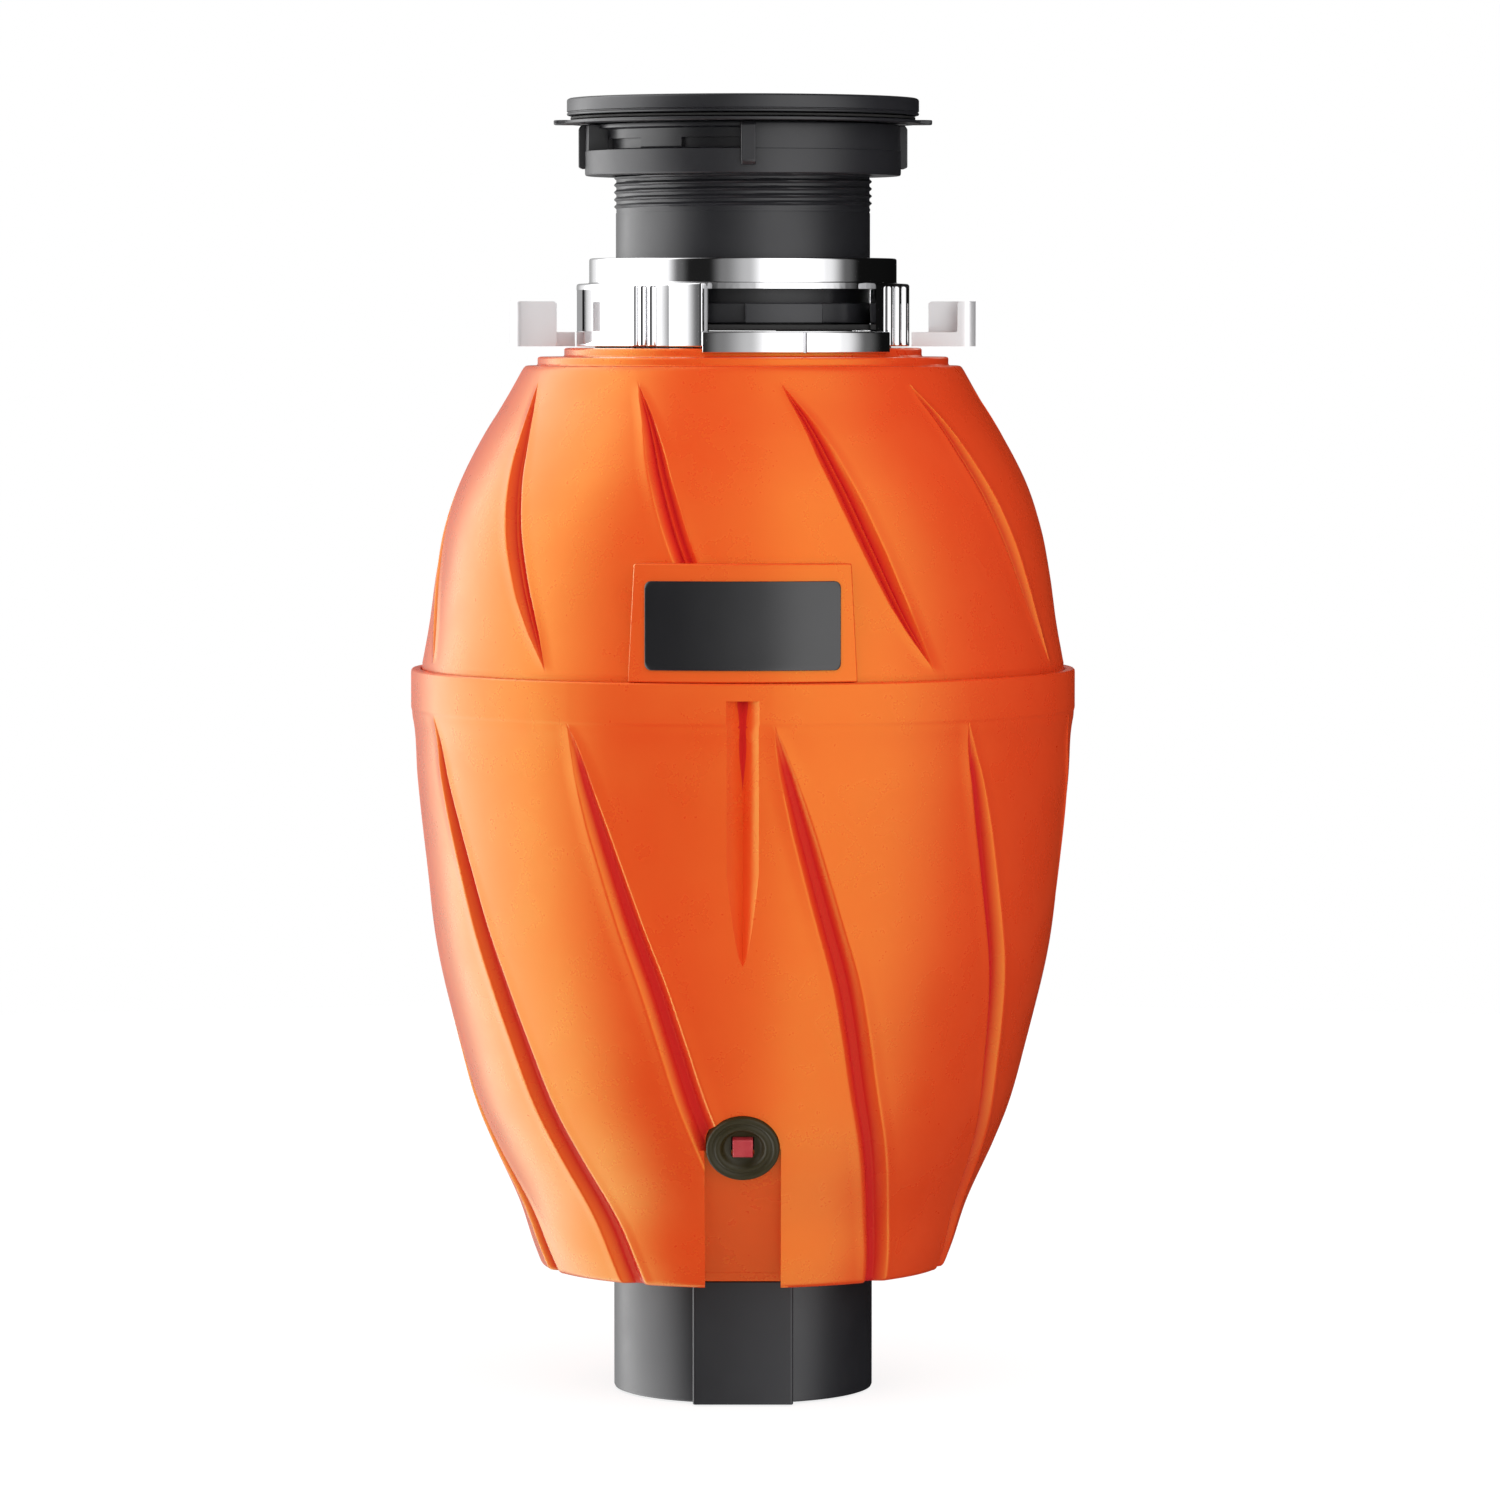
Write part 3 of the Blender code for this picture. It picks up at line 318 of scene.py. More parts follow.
# ------------------------------------------------------- the two grooved shells
LOWER_OUT = [(106.1, 218.0), (105.3, 214.0), (104.1, 196.9), (101.4, 171.3), (97.5, 141.0), (90.9, 112.4),
             (84.2, 88.9), (80.7, 80.3), (71.3, 59.3), (67.0, 46.1), (64.9, 40.6)]
UPPER_OUT = [(69.6, 327.4), (74.7, 318.3), (82.8, 304.7), (90.6, 289.2), (95.2, 275.3), (97.9, 261.3),
             (100.3, 244.2), (102.6, 231.8)]
LOWER_PATH = [(218.4, 5.2), (202.7, 7.6), (178.5, 11.6), (155.7, 15.7), (136.8, 19.4), (120.5, 22.1),
              (99.8, 25.7), (79.1, 30.7), (55.2, 36.9), (39.0, 40.2)]
UPPER_PATH = [(330.0, 6.8), (322.0, 9.6), (311.0, 14.3), (292.7, 19.5), (272.8, 24.3), (252.8, 29.5), (236.5, 34.5),
              (231.0, 36.2)]


def smooth_curve(table, z):
    """Table of (value, z) or (z, value) read as a smooth line through its points."""
    t = np.array(sorted(table), float)
    x, y = t[:, 0], t[:, 1]
    h = np.diff(x)
    d = np.diff(y) / h
    m = np.empty(len(x))
    m[0], m[-1] = d[0], d[-1]
    for i in range(1, len(x) - 1):
        m[i] = (d[i - 1] * h[i] + d[i] * h[i - 1]) / (h[i] + h[i - 1])
    z = np.clip(z, x[0], x[-1])
    k = np.clip(np.searchsorted(x, z) - 1, 0, len(x) - 2)
    s = (z - x[k]) / h[k]
    return ((2 * s**3 - 3 * s**2 + 1) * y[k] + (s**3 - 2 * s**2 + s) * h[k] * m[k]
            + (-2 * s**3 + 3 * s**2) * y[k + 1] + (s**3 - s**2) * h[k] * m[k + 1])


def lower_width(z):
    return np.interp(z, [39, 60, 100, 140, 165, 185, 203, 212, 218], [4.2, 4.3, 4.3, 4.2, 3.8, 3.3, 2.2, 1.1, 0.0])


def lower_depth(z):
    return np.interp(z, [39, 60, 100, 150, 180, 203, 218], [3.0, 3.2, 3.3, 3.2, 2.6, 1.4, 0.0])


def upper_width(z):
    return np.interp(z, [234, 238, 245, 255, 270, 285, 300, 312, 318, 322], [0.0, 0.8, 2.0, 3.0, 3.6, 3.6, 3.0, 1.7, 0.9, 0.0])


def upper_depth(z):
    return np.interp(z, [234, 240, 252, 280, 300, 314, 322], [0.0, 0.9, 2.3, 3.1, 2.8, 1.3, 0.0])


def lower_cut(t):
    """Depth across a lower groove: rolled edges, sloping sides and a narrow round bottom."""
    a = np.abs(t)
    side = np.clip((1.05 - a) / 0.74, 0.0, 1.0)
    return side**1.15


def upper_cut(t):
    """Depth across an upper groove: two channels with a low rib between them."""
    a = np.abs(t)
    side = np.clip((1.06 - a) / 0.72, 0.0, 1.0)
    return side**1.15 * (1.0 - 0.55 * np.exp(-((t / 0.20) ** 2)))


T_IN = [-1.6, -1.3, -1.14, -1.06, -0.98, -0.86, -0.72, -0.58, -0.46, -0.34, -0.24, -0.16, -0.08, 0.0]
T_IN = T_IN + [-t for t in reversed(T_IN[:-1])]


def grooved_shell(name, rows, path, width, depth, section, between, tail, roll=0.16):
    """A turned wall with ten slanted grooves; the mesh lines follow the grooves.

    rows is the outer line from the top down as (r, z); tail is the rest of the closed loop, plain."""
    span = 36.0
    ncol = len(T_IN) + between
    verts, recess = [], []
    for idx, (r, z) in enumerate(list(rows) + list(tail)):
        plain = idx >= len(rows)
        zz = z if not plain else (rows[-1][1] if idx - len(rows) < len(tail) / 2 else rows[0][1])
        c = float(smooth_curve(path, zz))
        w = max(float(width(zz)), 0.3)
        wd = math.degrees(w / max(r, 1.0)) if not plain else math.degrees(w / rows[-1][0])
        rel, t = [], []
        for s in T_IN:
            rel.append(s * wd)
            t.append(s)
        edge = T_IN[-1] * wd
        for k in range(between):
            rel.append(edge + (span - 2 * edge) * (k + 1) / (between + 1))
            t.append(9.0)
        t = np.array(t)
        d = np.zeros(ncol) if plain else section(t) * float(depth(zz))
        lip = 0.0 if plain else roll * min(float(depth(zz)), 1.5)
        lipc = lip * np.exp(-((np.abs(t) - 1.22) / 0.16) ** 2)
        # shade is painted shade: how deep each point sits in its groove, later darkening the orange there
        shade = np.zeros(ncol) if plain else np.clip(section(t) * min(1.0, float(depth(zz)) / 1.3), 0, 1)
        for g in range(10):
            ph = np.radians(c + g * 36.0 + np.array(rel))
            rr = r - d + (lipc if not plain else 0.0)
            rr = np.minimum(rr, 106.05)
            verts.append(np.stack([rr * np.sin(ph), -rr * np.cos(ph), np.full(ncol, z)], 1))
            recess.append(shade)
    verts = np.concatenate(verts)
    recess = np.concatenate(recess)
    c = ncol * 10
    n = len(rows) + len(tail)
    faces = []
    for k in range(n):
        k2 = (k + 1) % n
        for j in range(c):
            j2 = (j + 1) % c
            faces.append((k * c + j, k2 * c + j, k2 * c + j2, k * c + j2))
    me = bpy.data.meshes.new(name)
    me.from_pydata([tuple(v) for v in verts * MM], [], faces)
    # the painted shade is kept on the mesh as the 'recess' attribute for the material
    at = me.attributes.new("recess", "FLOAT", "POINT")
    at.data.foreach_set("value", recess.astype(np.float32))
    bm = bmesh.new()
    bm.from_mesh(me)
    bmesh.ops.recalc_face_normals(bm, faces=bm.faces)
    bm.to_mesh(me)
    bm.free()
    return me


zs = np.concatenate([np.linspace(216.6, 41.6, 138)])
low_r = smooth_curve([(z, r) for r, z in LOWER_OUT], zs)
low_rows = [(104.9, 231.0), (105.6, 230.9), (105.95, 230.5), (106.05, 229.9), (106.05, 226.0), (106.05, 222.0),
            (106.05, 218.9), (106.0, 218.4), (105.86, 218.0), (105.74, 217.4)]
low_rows += [(min(float(r), 105.70), float(z)) for r, z in zip(low_r, zs)]
low_rows += [(65.0, 40.9), (64.6, 40.3), (64.0, 39.85), (63.2, 39.7)]
low_tail = [(58.0, 39.7), (50.0, 39.7), (42.6, 39.7), (42.0, 40.2), (42.0, 42.2), (42.6, 42.7), (53.0, 42.7), (60.4, 44.2),
            (66.9, 60.6), (76.5, 81.5), (86.5, 113.3), (93.0, 141.5), (97.0, 171.7), (99.8, 197.2), (102.2, 216.0),
            (103.0, 224.0), (103.0, 230.6), (103.3, 231.0)]
shell_low = piece("lower_shell", grooved_shell("lower_shell", low_rows, LOWER_PATH, lower_width, lower_depth, lower_cut,
                                               15, low_tail), "orange_plastic", "root", ["housing_lower"])

zs = np.linspace(325.8, 232.6, 92)
up_r = smooth_curve([(z, r) for r, z in UPPER_OUT], zs)
up_rows = [(52.0, 333.0), (56.0, 333.0), (56.7, 332.85), (57.0, 332.4), (57.0, 330.7), (57.3, 330.3), (57.8, 330.2),
           (64.6, 330.2), (65.2, 330.05), (65.5, 329.6), (65.5, 327.9), (65.8, 327.5), (66.2, 327.4), (68.6, 327.4),
           (69.3, 327.25), (69.9, 326.7)]
up_rows += [(float(r), float(z)) for r, z in zip(up_r, zs)]
up_rows += [(102.4, 232.2), (102.45, 231.2)]
up_tail = [(102.45, 226.4), (102.0, 226.0), (99.8, 226.0), (99.4, 226.6), (99.0, 231.5), (96.0, 244.0), (93.6, 260.9),
           (90.9, 274.6), (86.4, 287.4), (79.0, 302.0), (71.4, 315.0), (66.0, 324.6), (60.0, 327.6), (52.0, 329.4),
           (51.4, 330.6), (51.4, 332.6)]
shell_up = piece("upper_shell", grooved_shell("upper_shell", up_rows, UPPER_PATH, upper_width, upper_depth, upper_cut,
                                              15, up_tail), "orange_plastic", "root", ["housing_upper"])

# the finger channel's opening, the reset well, the long centre notch and the holes at the back
CH = 11.85
BZ_C = Vector((0.0, -82.8, 85.4))
BZ_N = Vector((0.0, -math.cos(math.radians(27)), -math.sin(math.radians(27))))
outline = [(CH, 30.0), (CH, 86.5), (-CH, 86.5), (-CH, 30.0)]


def channel_block(name, half, back, top, low_y=-110.0, z_bot=28.0):
    """The channel's space: between two sides, in front of the sloping back wall."""
    y_at = lambda z: -46.0 + (z - 39.0) * (-80.5 + 46.0) / (86.0 - 39.0) + back
    pts = [(-half, low_y, z_bot), (-half, y_at(z_bot), z_bot), (-half, y_at(top), top), (-half, low_y, top)]
    v = pts + [(half, y, z) for _, y, z in pts]
    f = [(0, 1, 2, 3), (7, 6, 5, 4), (0, 4, 5, 1), (1, 5, 6, 2), (2, 6, 7, 3), (3, 7, 4, 0)]
    return mesh_from(name, v, f)


def v_notch():
    """The centre notch: flat top, parallel sides, then a long point; V-shaped inside."""
    rows = []
    for z in np.concatenate([[225.6], np.linspace(224, 172, 14), np.linspace(168, 143.5, 10)]):
        z = float(z)
        half = 5.1 if z > 172 else 5.1 * max(0.0, (z - 143.5) / (172 - 143.5)) ** 0.62
        surf = float(smooth_curve([(q, r) for r, q in LOWER_OUT], min(z, 217.0)))
        deep = surf - 4.3 * (half / 5.1) ** 0.8
        rows.append((max(half, 0.02), deep, surf, z))
    v, f = [], []
    for half, deep, surf, z in rows:
        k = 1.6
        v += [(-half, -surf, z), (0, -deep, z), (half, -surf, z), (half * k, -surf - 3, z), (-half * k, -surf - 3, z)]
    for i in range(len(rows) - 1):
        a, b = i * 5, (i + 1) * 5
        for j in range(5):
            f.append((a + j, a + (j + 1) % 5, b + (j + 1) % 5, b + j))
    f.append((0, 1, 2, 3, 4))
    e = (len(rows) - 1) * 5
    f.append((e + 4, e + 3, e + 2, e + 1, e))
    me = mesh_from("centre_notch", v, f, merge=None)
    # painted shade: the notch faces carry 'recess' 0.9, so the material paints them a darker red as if in shadow
    at = me.attributes.new("recess", "FLOAT", "POINT")
    at.data.foreach_set("value", np.full(len(me.vertices), 0.9, np.float32))
    return me


well = tube_mesh("reset_well", [(0, -9), (11.55, -9), (11.55, 30), (0, 30)], BZ_C, BZ_N, closed=False)
outlet_hole = tube_mesh("outlet_hole", [(0, 0), (26.4, 0), (26.4, 27), (0, 27)], (0, 88, 231.5), (0, 1, 0), closed=False)
cut(shell_low, cutter("channel", channel_block("channel", CH, -0.0, 85.5)), cutter("well", well),
    cutter("centre_notch", v_notch()), cutter("outlet_hole", outlet_hole.copy()))
cut(shell_up, cutter("outlet_hole_2", outlet_hole.copy()),
    cutter("inlet_hole", tube_mesh("inlet_hole", [(0, 0), (11.6, 0), (11.6, 60), (0, 60)], (0, 60, 291), (0, 1, 0),
                                   closed=False)))
for sh in (shell_low, shell_up):
    sh.data.shade_smooth()
    sh.data.set_sharp_from_angle(angle=math.radians(26))

# the centre notch's own floor, behind the opening that it makes
v, f = [], []
for z in np.linspace(225.7, 144.5, 40):
    z = float(z)
    half = 5.1 if z > 172 else 5.1 * max(0.0, (z - 143.5) / (172 - 143.5)) ** 0.62
    surf = float(smooth_curve([(q, r) for r, q in LOWER_OUT], min(z, 217.0)))
    deep = surf - 4.3 * (half / 5.1) ** 0.8 - 0.04
    v += [(-half - 0.6, -surf + 1.2, z), (-half, -surf + 0.35, z), (0, -deep, z), (half, -surf + 0.35, z),
          (half + 0.6, -surf + 1.2, z), (half + 0.6, -surf + 5.6, z), (-half - 0.6, -surf + 5.6, z)]
rows_n = len(v) // 7
for i in range(rows_n - 1):
    for j in range(7):
        f.append((i * 7 + j, i * 7 + (j + 1) % 7, i * 7 + 7 + (j + 1) % 7, i * 7 + 7 + j))
f += [tuple(range(7)), tuple(range(rows_n * 7 - 1, rows_n * 7 - 8, -1))]
me = mesh_from("notch_floor", v, f, merge=None)
# painted shade: the notch floor carries 'recess' 0.9, so the material paints it a darker red as if in shadow
at = me.attributes.new("recess", "FLOAT", "POINT")
at.data.foreach_set("value", np.full(len(me.vertices), 0.9, np.float32))
piece("notch_floor", me, "orange_plastic", "root", ["housing_lower"], angle=20)

# liner of the finger channel: a sloping back wall with two cheeks
liner = piece("channel_liner", channel_block("channel_liner", CH + 2.2, 2.3, 85.0), "orange_plastic", "root",
              ["housing_lower"])
trim = lathe_mesh("liner_trim", [(140.0, 20), (140.0, 230), (105, 218), (104.0, 197), (101.3, 171), (97.4, 141),
                                 (90.8, 112.4), (84.0, 88.9), (80.5, 80.3), (71.1, 59.3), (66.7, 46.1), (64.4, 39.9),
                                 (50.0, 39.8), (30.0, 39.8), (30.0, 20)], cols=96, closed=True)
cut(liner, cutter("channel_2", channel_block("channel_2", CH + 0.05, 0.08, 96.0, z_bot=26.0)), cutter("liner_trim", trim))
liner.data.shade_smooth()
liner.data.set_sharp_from_angle(angle=math.radians(30))


# ------------------------------------------------------- pad and blank plate
def curved_plate(name, half_top, half_bot, z0, z1, r_in, r_out, corner, chamfer, cols=56, rows=14):
    """A thin curved plate on the front: rounded corners and a small chamfer round its face."""
    verts, faces = [], []

    def layer(r, inset):
        start = len(verts)
        for i in range(cols + 1):
            s = -1.0 + 2.0 * i / cols
            s = math.copysign(1 - (1 - abs(s)) ** 1.6, s)
            for j in range(rows + 1):
                hb, ht = half_bot - inset, half_top - inset
                x_edge = min(hb, ht) * abs(s)
                c = max(corner - inset * 0.6, 0.05)
                over = max(0.0, x_edge - (min(hb, ht) - c))
                dz = c - math.sqrt(max(c * c - over * over, 0.0))
                za, zb = z0 + inset + dz, z1 - inset - dz
                z = za + (zb - za) * j / rows
                f = (z - z0) / (z1 - z0)
                half = hb + (ht - hb) * f
                ph = s * half / r_out
                verts.append((r * math.sin(ph), -r * math.cos(ph), z))
        return start

    la, lb, lc = layer(r_in, 0.0), layer(r_out - chamfer, 0.0), layer(r_out, chamfer)
    w = rows + 1
    for st, flip in ((la, True), (lc, False)):
        for i in range(cols):
            for j in range(rows):
                q = (st + i * w + j, st + (i + 1) * w + j, st + (i + 1) * w + j + 1, st + i * w + j + 1)
                faces.append(q[::-1] if flip else q)
    ring = [i * w for i in range(cols + 1)] + [cols * w + j for j in range(1, rows + 1)]
    ring += [i * w + rows for i in range(cols - 1, -1, -1)] + [j for j in range(rows - 1, 0, -1)]
    for a, b in ((la, lb), (lb, lc)):
        for k in range(len(ring)):
            p, q = ring[k], ring[(k + 1) % len(ring)]
            faces.append((a + p, a + q, b + q, b + p))
    return mesh_from(name, verts, faces)


piece("label_pad", curved_plate("label_pad", 34.0, 36.0, 231.15, 267.5, 92.0, 105.2, 0.5, 0.35), "orange_plastic", "root",
      ["housing_upper"], angle=30)
piece("blank_plate", curved_plate("blank_plate", 30.5, 30.5, 234.9, 262.2, 104.6, 105.95, 2.0, 0.18), "gloss_black",
      "root", ["name_plate"], angle=50)

# --------------------------------------------------------------- reset button
bezel_prof = [(0, -5.9), (11.3, -5.9), (11.4, -5.8), (11.4, -0.35), (11.25, 0.0), (10.9, 0.2), (9.9, 0.2), (9.5, 0.0),
              (9.2, -0.25), (8.9, -0.25), (8.6, 0.0), (8.2, 0.12), (7.4, 0.12), (6.95, -0.1), (6.6, -0.7), (6.0, -1.7),
              (5.4, -2.0), (0, -2.0)]
bz = piece("reset_bezel_ring", tube_mesh("reset_bezel_ring", bezel_prof, BZ_C, BZ_N, cols=96, closed=False),
           "bezel_plastic", "root", ["reset_bezel"])
rot = BZ_N.to_track_quat("Z", "Y").to_matrix().to_4x4()
button_me = prism_mesh("reset_key", [(-3.2, -3.2), (3.2, -3.2), (3.2, 3.2), (-3.2, 3.2)], -5.8, -0.35)
button_me.transform(Matrix.Translation(BZ_C * MM) @ rot)
cut(bz, cutter("key_hole", (lambda me: (me.transform(Matrix.Translation(BZ_C * MM) @ rot), me)[1])(
    prism_mesh("key_hole", [(-3.55, -3.55), (3.55, -3.55), (3.55, 3.55), (-3.55, 3.55)], -9, 3))))
bz.data.set_sharp_from_angle(angle=math.radians(40))
bevel(piece("reset_key", button_me, "red_plastic", "button", ["reset_button"]), 0.45)

# ------------------------------------------------------------------- base cup
cup = [(9.0, 0.0), (40.4, 0.0), (41.1, 0.25), (41.4, 0.9), (41.4, 38.6), (41.4, 43.0), (44.2, 43.1), (44.4, 43.4), (44.4, 44.8),
       (44.1, 45.0), (38.6, 45.0), (38.2, 44.6), (38.2, 5.6), (37.6, 5.0), (9.3, 5.0), (9.0, 4.7)]
base = lathe("base_can", cup, "black_plastic", "root", ["base_cup"], cols=144)
pts = soften([(-15.85, -38.0), (-15.85, -43.5), (15.85, -43.5), (15.85, -38.0)], [0, 0.9, 0.9, 0], 4)
panel = piece("base_panel", prism_mesh("base_panel", pts, 0.0, 39.15), "black_plastic", "root", ["base_cup"])
bevel(panel, 0.3, 2)
recess = []
for k, a in enumerate((90, 210, 330)):
    x, y = 30 * math.sin(math.radians(a)), -30 * math.cos(math.radians(a))
    me = disc_block(f"screw_well_{k}", 4.2, -2.0, 2.2, 32)
    me.transform(Matrix.Translation((x * MM, y * MM, 0)))
    recess.append(cutter(f"screw_well_{k}", me))
cut(base, *recess)
base.data.set_sharp_from_angle(angle=math.radians(38))
for k in (1, 2, 3):
    lo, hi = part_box(f"base_screw_{k}")
    cx, cy = (lo.x + hi.x) / 2 / MM, (lo.y + hi.y) / 2 / MM
    z0, z1, rr = lo.z / MM, hi.z / MM, (hi.x - lo.x) / 2 / MM
    head = soften([(0, z0 + 0.05), (rr * 0.8, z0 + 0.05), (rr * 0.98, z0 + 0.7), (rr * 0.98, z0 + 1.3),
                   (rr * 0.45, z0 + 2.0), (rr * 0.45, z1 - 0.1), (0, z1 - 0.1)], 0.25, 3, closed=False)
    me = lathe_mesh(f"foot_screw_{k}", head, cols=40, closed=False)
    me.transform(Matrix.Translation((cx * MM, cy * MM, 0)))
    s = piece(f"foot_screw_{k}", me, "steel_sheet", "root", [f"base_screw_{k}"])
    bars = []
    for i, (w, d) in enumerate(((0.45, 2.0), (2.0, 0.45))):
        bm_ = prism_mesh(f"slot_{k}_{i}", [(cx - w, cy - d), (cx + w, cy - d), (cx + w, cy + d), (cx - w, cy + d)],
                         z0 - 1, z0 + 0.9)
        bars.append(cutter(f"slot_{k}_{i}", bm_))
    cut(s, *bars)

# ------------------------------------------------------------- threaded sleeve
PITCH = 2.3


def thread(r, z, ph):
    """A rounded ridge that climbs one pitch a turn."""
    rr = np.full(len(ph), r)
    if 376.2 < z < 403.4 and abs(r - 41.15) < 0.06:
        f = (z / PITCH - ph / (2 * math.pi)) % 1.0
        ridge = np.clip(1.0 - np.abs(f - 0.5) / 0.30, 0.0, 1.0) ** 0.7
        fade = min(1.0, (z - 376.2) / 1.6, (403.4 - z) / 1.6)
        rr = 40.35 + 0.8 * ridge * max(fade, 0.0)
    return rr


sleeve = [(37.5, 338.8), (40.1, 338.8), (40.5, 339.2), (40.5, 357.0), (40.5, 375.6), (40.3, 376.0)]
sleeve += [(41.15, float(z)) for z in np.arange(376.3, 403.4, 0.23)]
sleeve += [(40.4, 403.6), (40.4, 406.2), (40.8, 406.6), (55.2, 406.6), (55.9, 406.8), (56.1, 407.3), (55.75, 407.55),
           (55.75, 407.75), (56.05, 408.0), (56.05, 411.4), (55.85, 411.85), (55.3, 412.15), (54.8, 412.2), (52.0, 412.2), (51.0, 411.6),
           (50.0, 410.7), (46.5, 410.1), (43.4, 409.5), (41.3, 407.6), (39.6, 405.2), (38.5, 403.2), (38.4, 402.5),
           (38.4, 385.0), (38.0, 384.3), (36.2, 384.2), (36.0, 384.0), (36.0, 382.4), (36.2, 382.2), (37.3, 382.0), (37.5, 381.5)]
lathe("sink_sleeve", sleeve, "black_plastic", "root", ["threaded_sleeve"], cols=168, rfun=thread)

# --------------------------------------------------------------- clamp and nut
pts = []
for a in np.linspace(0, 2 * math.pi, 180, endpoint=False):
    pts.append((56.5 * math.sin(a), -56.5 * math.cos(a)))
ring_pts = []
for i in range(180):
    x, y = pts[i]
    if abs(y) < 5.2:
        x = math.copysign(60.2 - 0.012 * y * y, x)
    ring_pts.append((x, y))
for k, sx in enumerate((1, -1)):
    e = [(52.0, -5.6), (57.0, -5.4), (59.6, -4.2), (60.2, -2.4), (60.2, 2.4), (59.6, 4.2), (57.0, 5.4), (52.0, 5.6)]
    e = [(sx * x, y) for x, y in (e if sx > 0 else e[::-1])]
    bevel(piece(f"clamp_ear_{k}", prism_mesh(f"clamp_ear_{k}", e, 403.85, 405.3), "black_plastic", "clamp",
                ["backup_ring"]), 0.3, 2)
back = piece("ear_ring", prism_mesh("ear_ring", ring_pts, 404.1, 405.1), "black_plastic", "clamp", ["backup_ring"])
cut(back, cutter("ear_ring_bore", disc_block("ear_ring_bore", 41.8, 400, 410, 128)))
back.data.set_sharp_from_angle(angle=math.radians(38))
bevel(back, 0.22, 2)
lathe("rim_gasket", soften([(41.7, 405.42), (54.9, 405.42), (54.9, 406.28), (41.7, 406.28)], 0.25, 3), "rubber_black",
      "clamp", ["flange_gasket"], cols=120)

band = soften([(41.7, 387.6), (50.3, 387.6), (50.45, 395.45), (46.0, 395.5), (43.8, 396.0), (43.8, 402.0), (44.4, 402.3),
               (46.4, 402.4), (46.4, 403.75), (41.7, 403.75)], [0.3, 0.7, 0.35, 0.3, 0.5, 0.5, 0.3, 0.3, 0.3, 0.3], 3)
nut = lathe("ribbed_nut", band, "black_plastic", "nut", ["mounting_nut"], cols=180)
slots = []
for k, (a, b) in enumerate(((-76, -47), (-26, 1), (104, 133), (154, 181))):
    me = lathe_mesh(f"nut_slot_{k}", [(42.4, 395.9), (48.0, 395.9), (48.0, 399.1), (42.4, 399.1)], cols=12, phi0=a, phi1=b)
    slots.append(cutter(f"nut_slot_{k}", me))
cut(nut, *slots)
nut.data.set_sharp_from_angle(angle=math.radians(38))
# closed quarters of the nut, and its upright wings
for k, (a, b) in enumerate(((3.0, 88.0), (183.0, 268.0), (-90.0, -77.0), (90.0, 103.0))):
    me = lathe_mesh(f"nut_quarter_{k}", soften([(43.5, 395.0), (50.25, 395.0), (50.1, 403.7), (43.5, 403.7)],
                                               [0, 0.3, 0.6, 0], 3), cols=40 if b - a > 20 else 9, phi0=a, phi1=b)
    bevel(piece(f"nut_quarter_{k}", me, "black_plastic", "nut", ["mounting_nut"]), 0.25, 2)
for k in range(0, 8, 2):
    a = math.radians(45 * k + 2.0)
    big = True
    top, low = 403.75, 390.1
    if not big:
        rad = [(43.5, top), (49.6, top), (50.6, 396.2), (50.6, 394.0), (43.5, 394.0)]
        half = 1.1
    else:
        rad = [(43.5, top), (51.4, top), (52.35, top - 1.0), (52.35, low + 1.2), (51.2, low), (49.0, low + 0.2),
               (43.5, low + 4)]
        half = 2.3
    if big and k % 4 == 2:
        rad = [(43.5, top), (51.4, top), (52.35, top - 1.2), (52.35, low + 0.2), (51.0, low - 0.4), (49.5, low),
               (43.5, low + 3)]
    n = len(rad)
    v = [(-half, -r, z) for r, z in rad] + [(half, -r, z) for r, z in rad]
    f = [tuple(range(n)), tuple(range(2 * n - 1, n - 1, -1))] + [(i, (i + 1) % n, n + (i + 1) % n, n + i) for i in range(n)]
    me = mesh_from(f"nut_wing_{k}", v, f)
    me.transform(Matrix.Rotation(a, 4, "Z"))
    bevel(piece(f"nut_wing_{k}", me, "black_plastic", "nut", ["mounting_nut"]), 0.4, 3)

# ------------------------------------------------------------------- lock ring
ring = soften([(51.3, 333.5), (53.05, 333.5), (53.05, 353.3), (49.0, 353.5), (49.0, 361.4), (41.5, 361.4), (41.5, 360.0),
               (47.4, 360.0), (47.4, 351.8), (51.3, 351.5)], [0.2, 0.35, 0.9, 0.5, 0.8, 0.4, 0.3, 0.9, 0.6, 0.4], 4)
lock = lathe("twist_ring", ring, "chrome_metal", "lock", ["lock_ring"], cols=240)
wins = []
for k, (a, b) in enumerate(((-12, 52), (88, 133), (168, 232), (268, 313))):
    top = 353.7 if k in (0, 2) else 351.4
    me = lathe_mesh(f"window_{k}", [(49.3, 338.3), (60.0, 338.3), (60.0, top), (49.3, top)], cols=24, phi0=a, phi1=b)
    wins.append(cutter(f"window_{k}", me))
cut(lock, *wins)
lock.data.set_sharp_from_angle(angle=math.radians(38))
for k, (a, b) in enumerate(((86, 135), (266, 315))):
    me = lathe_mesh(f"window_back_{k}", [(50.0, 337.6), (50.7, 337.6), (50.7, 352.0), (50.0, 352.0)], cols=24, phi0=a, phi1=b)
    piece(f"window_back_{k}", me, "chrome_metal", "lock", ["lock_ring"])
lathe("ring_lip", soften([(48.1, 333.55), (52.0, 333.55), (52.0, 335.2), (48.1, 335.2)], 0.4, 3), "chrome_metal", "lock",
      cols=180)
for k, (a, b) in enumerate(((-12.5, 19.0), (20.0, 52.5), (167.5, 199.0), (200.0, 232.5))):
    me = lathe_mesh(f"front_band_{k}", soften([(52.6, 333.5), (57.25, 333.5), (57.3, 331.5), (58.3, 331.5),
                                               (58.3, 338.15), (52.6, 338.15)], [0.2, 0.2, 0.2, 0.4, 0.5, 0.2], 3), cols=30, phi0=a, phi1=b)
    bevel(piece(f"front_band_{k}", me, "chrome_metal", "lock", ["lock_ring"]), 0.2, 2)
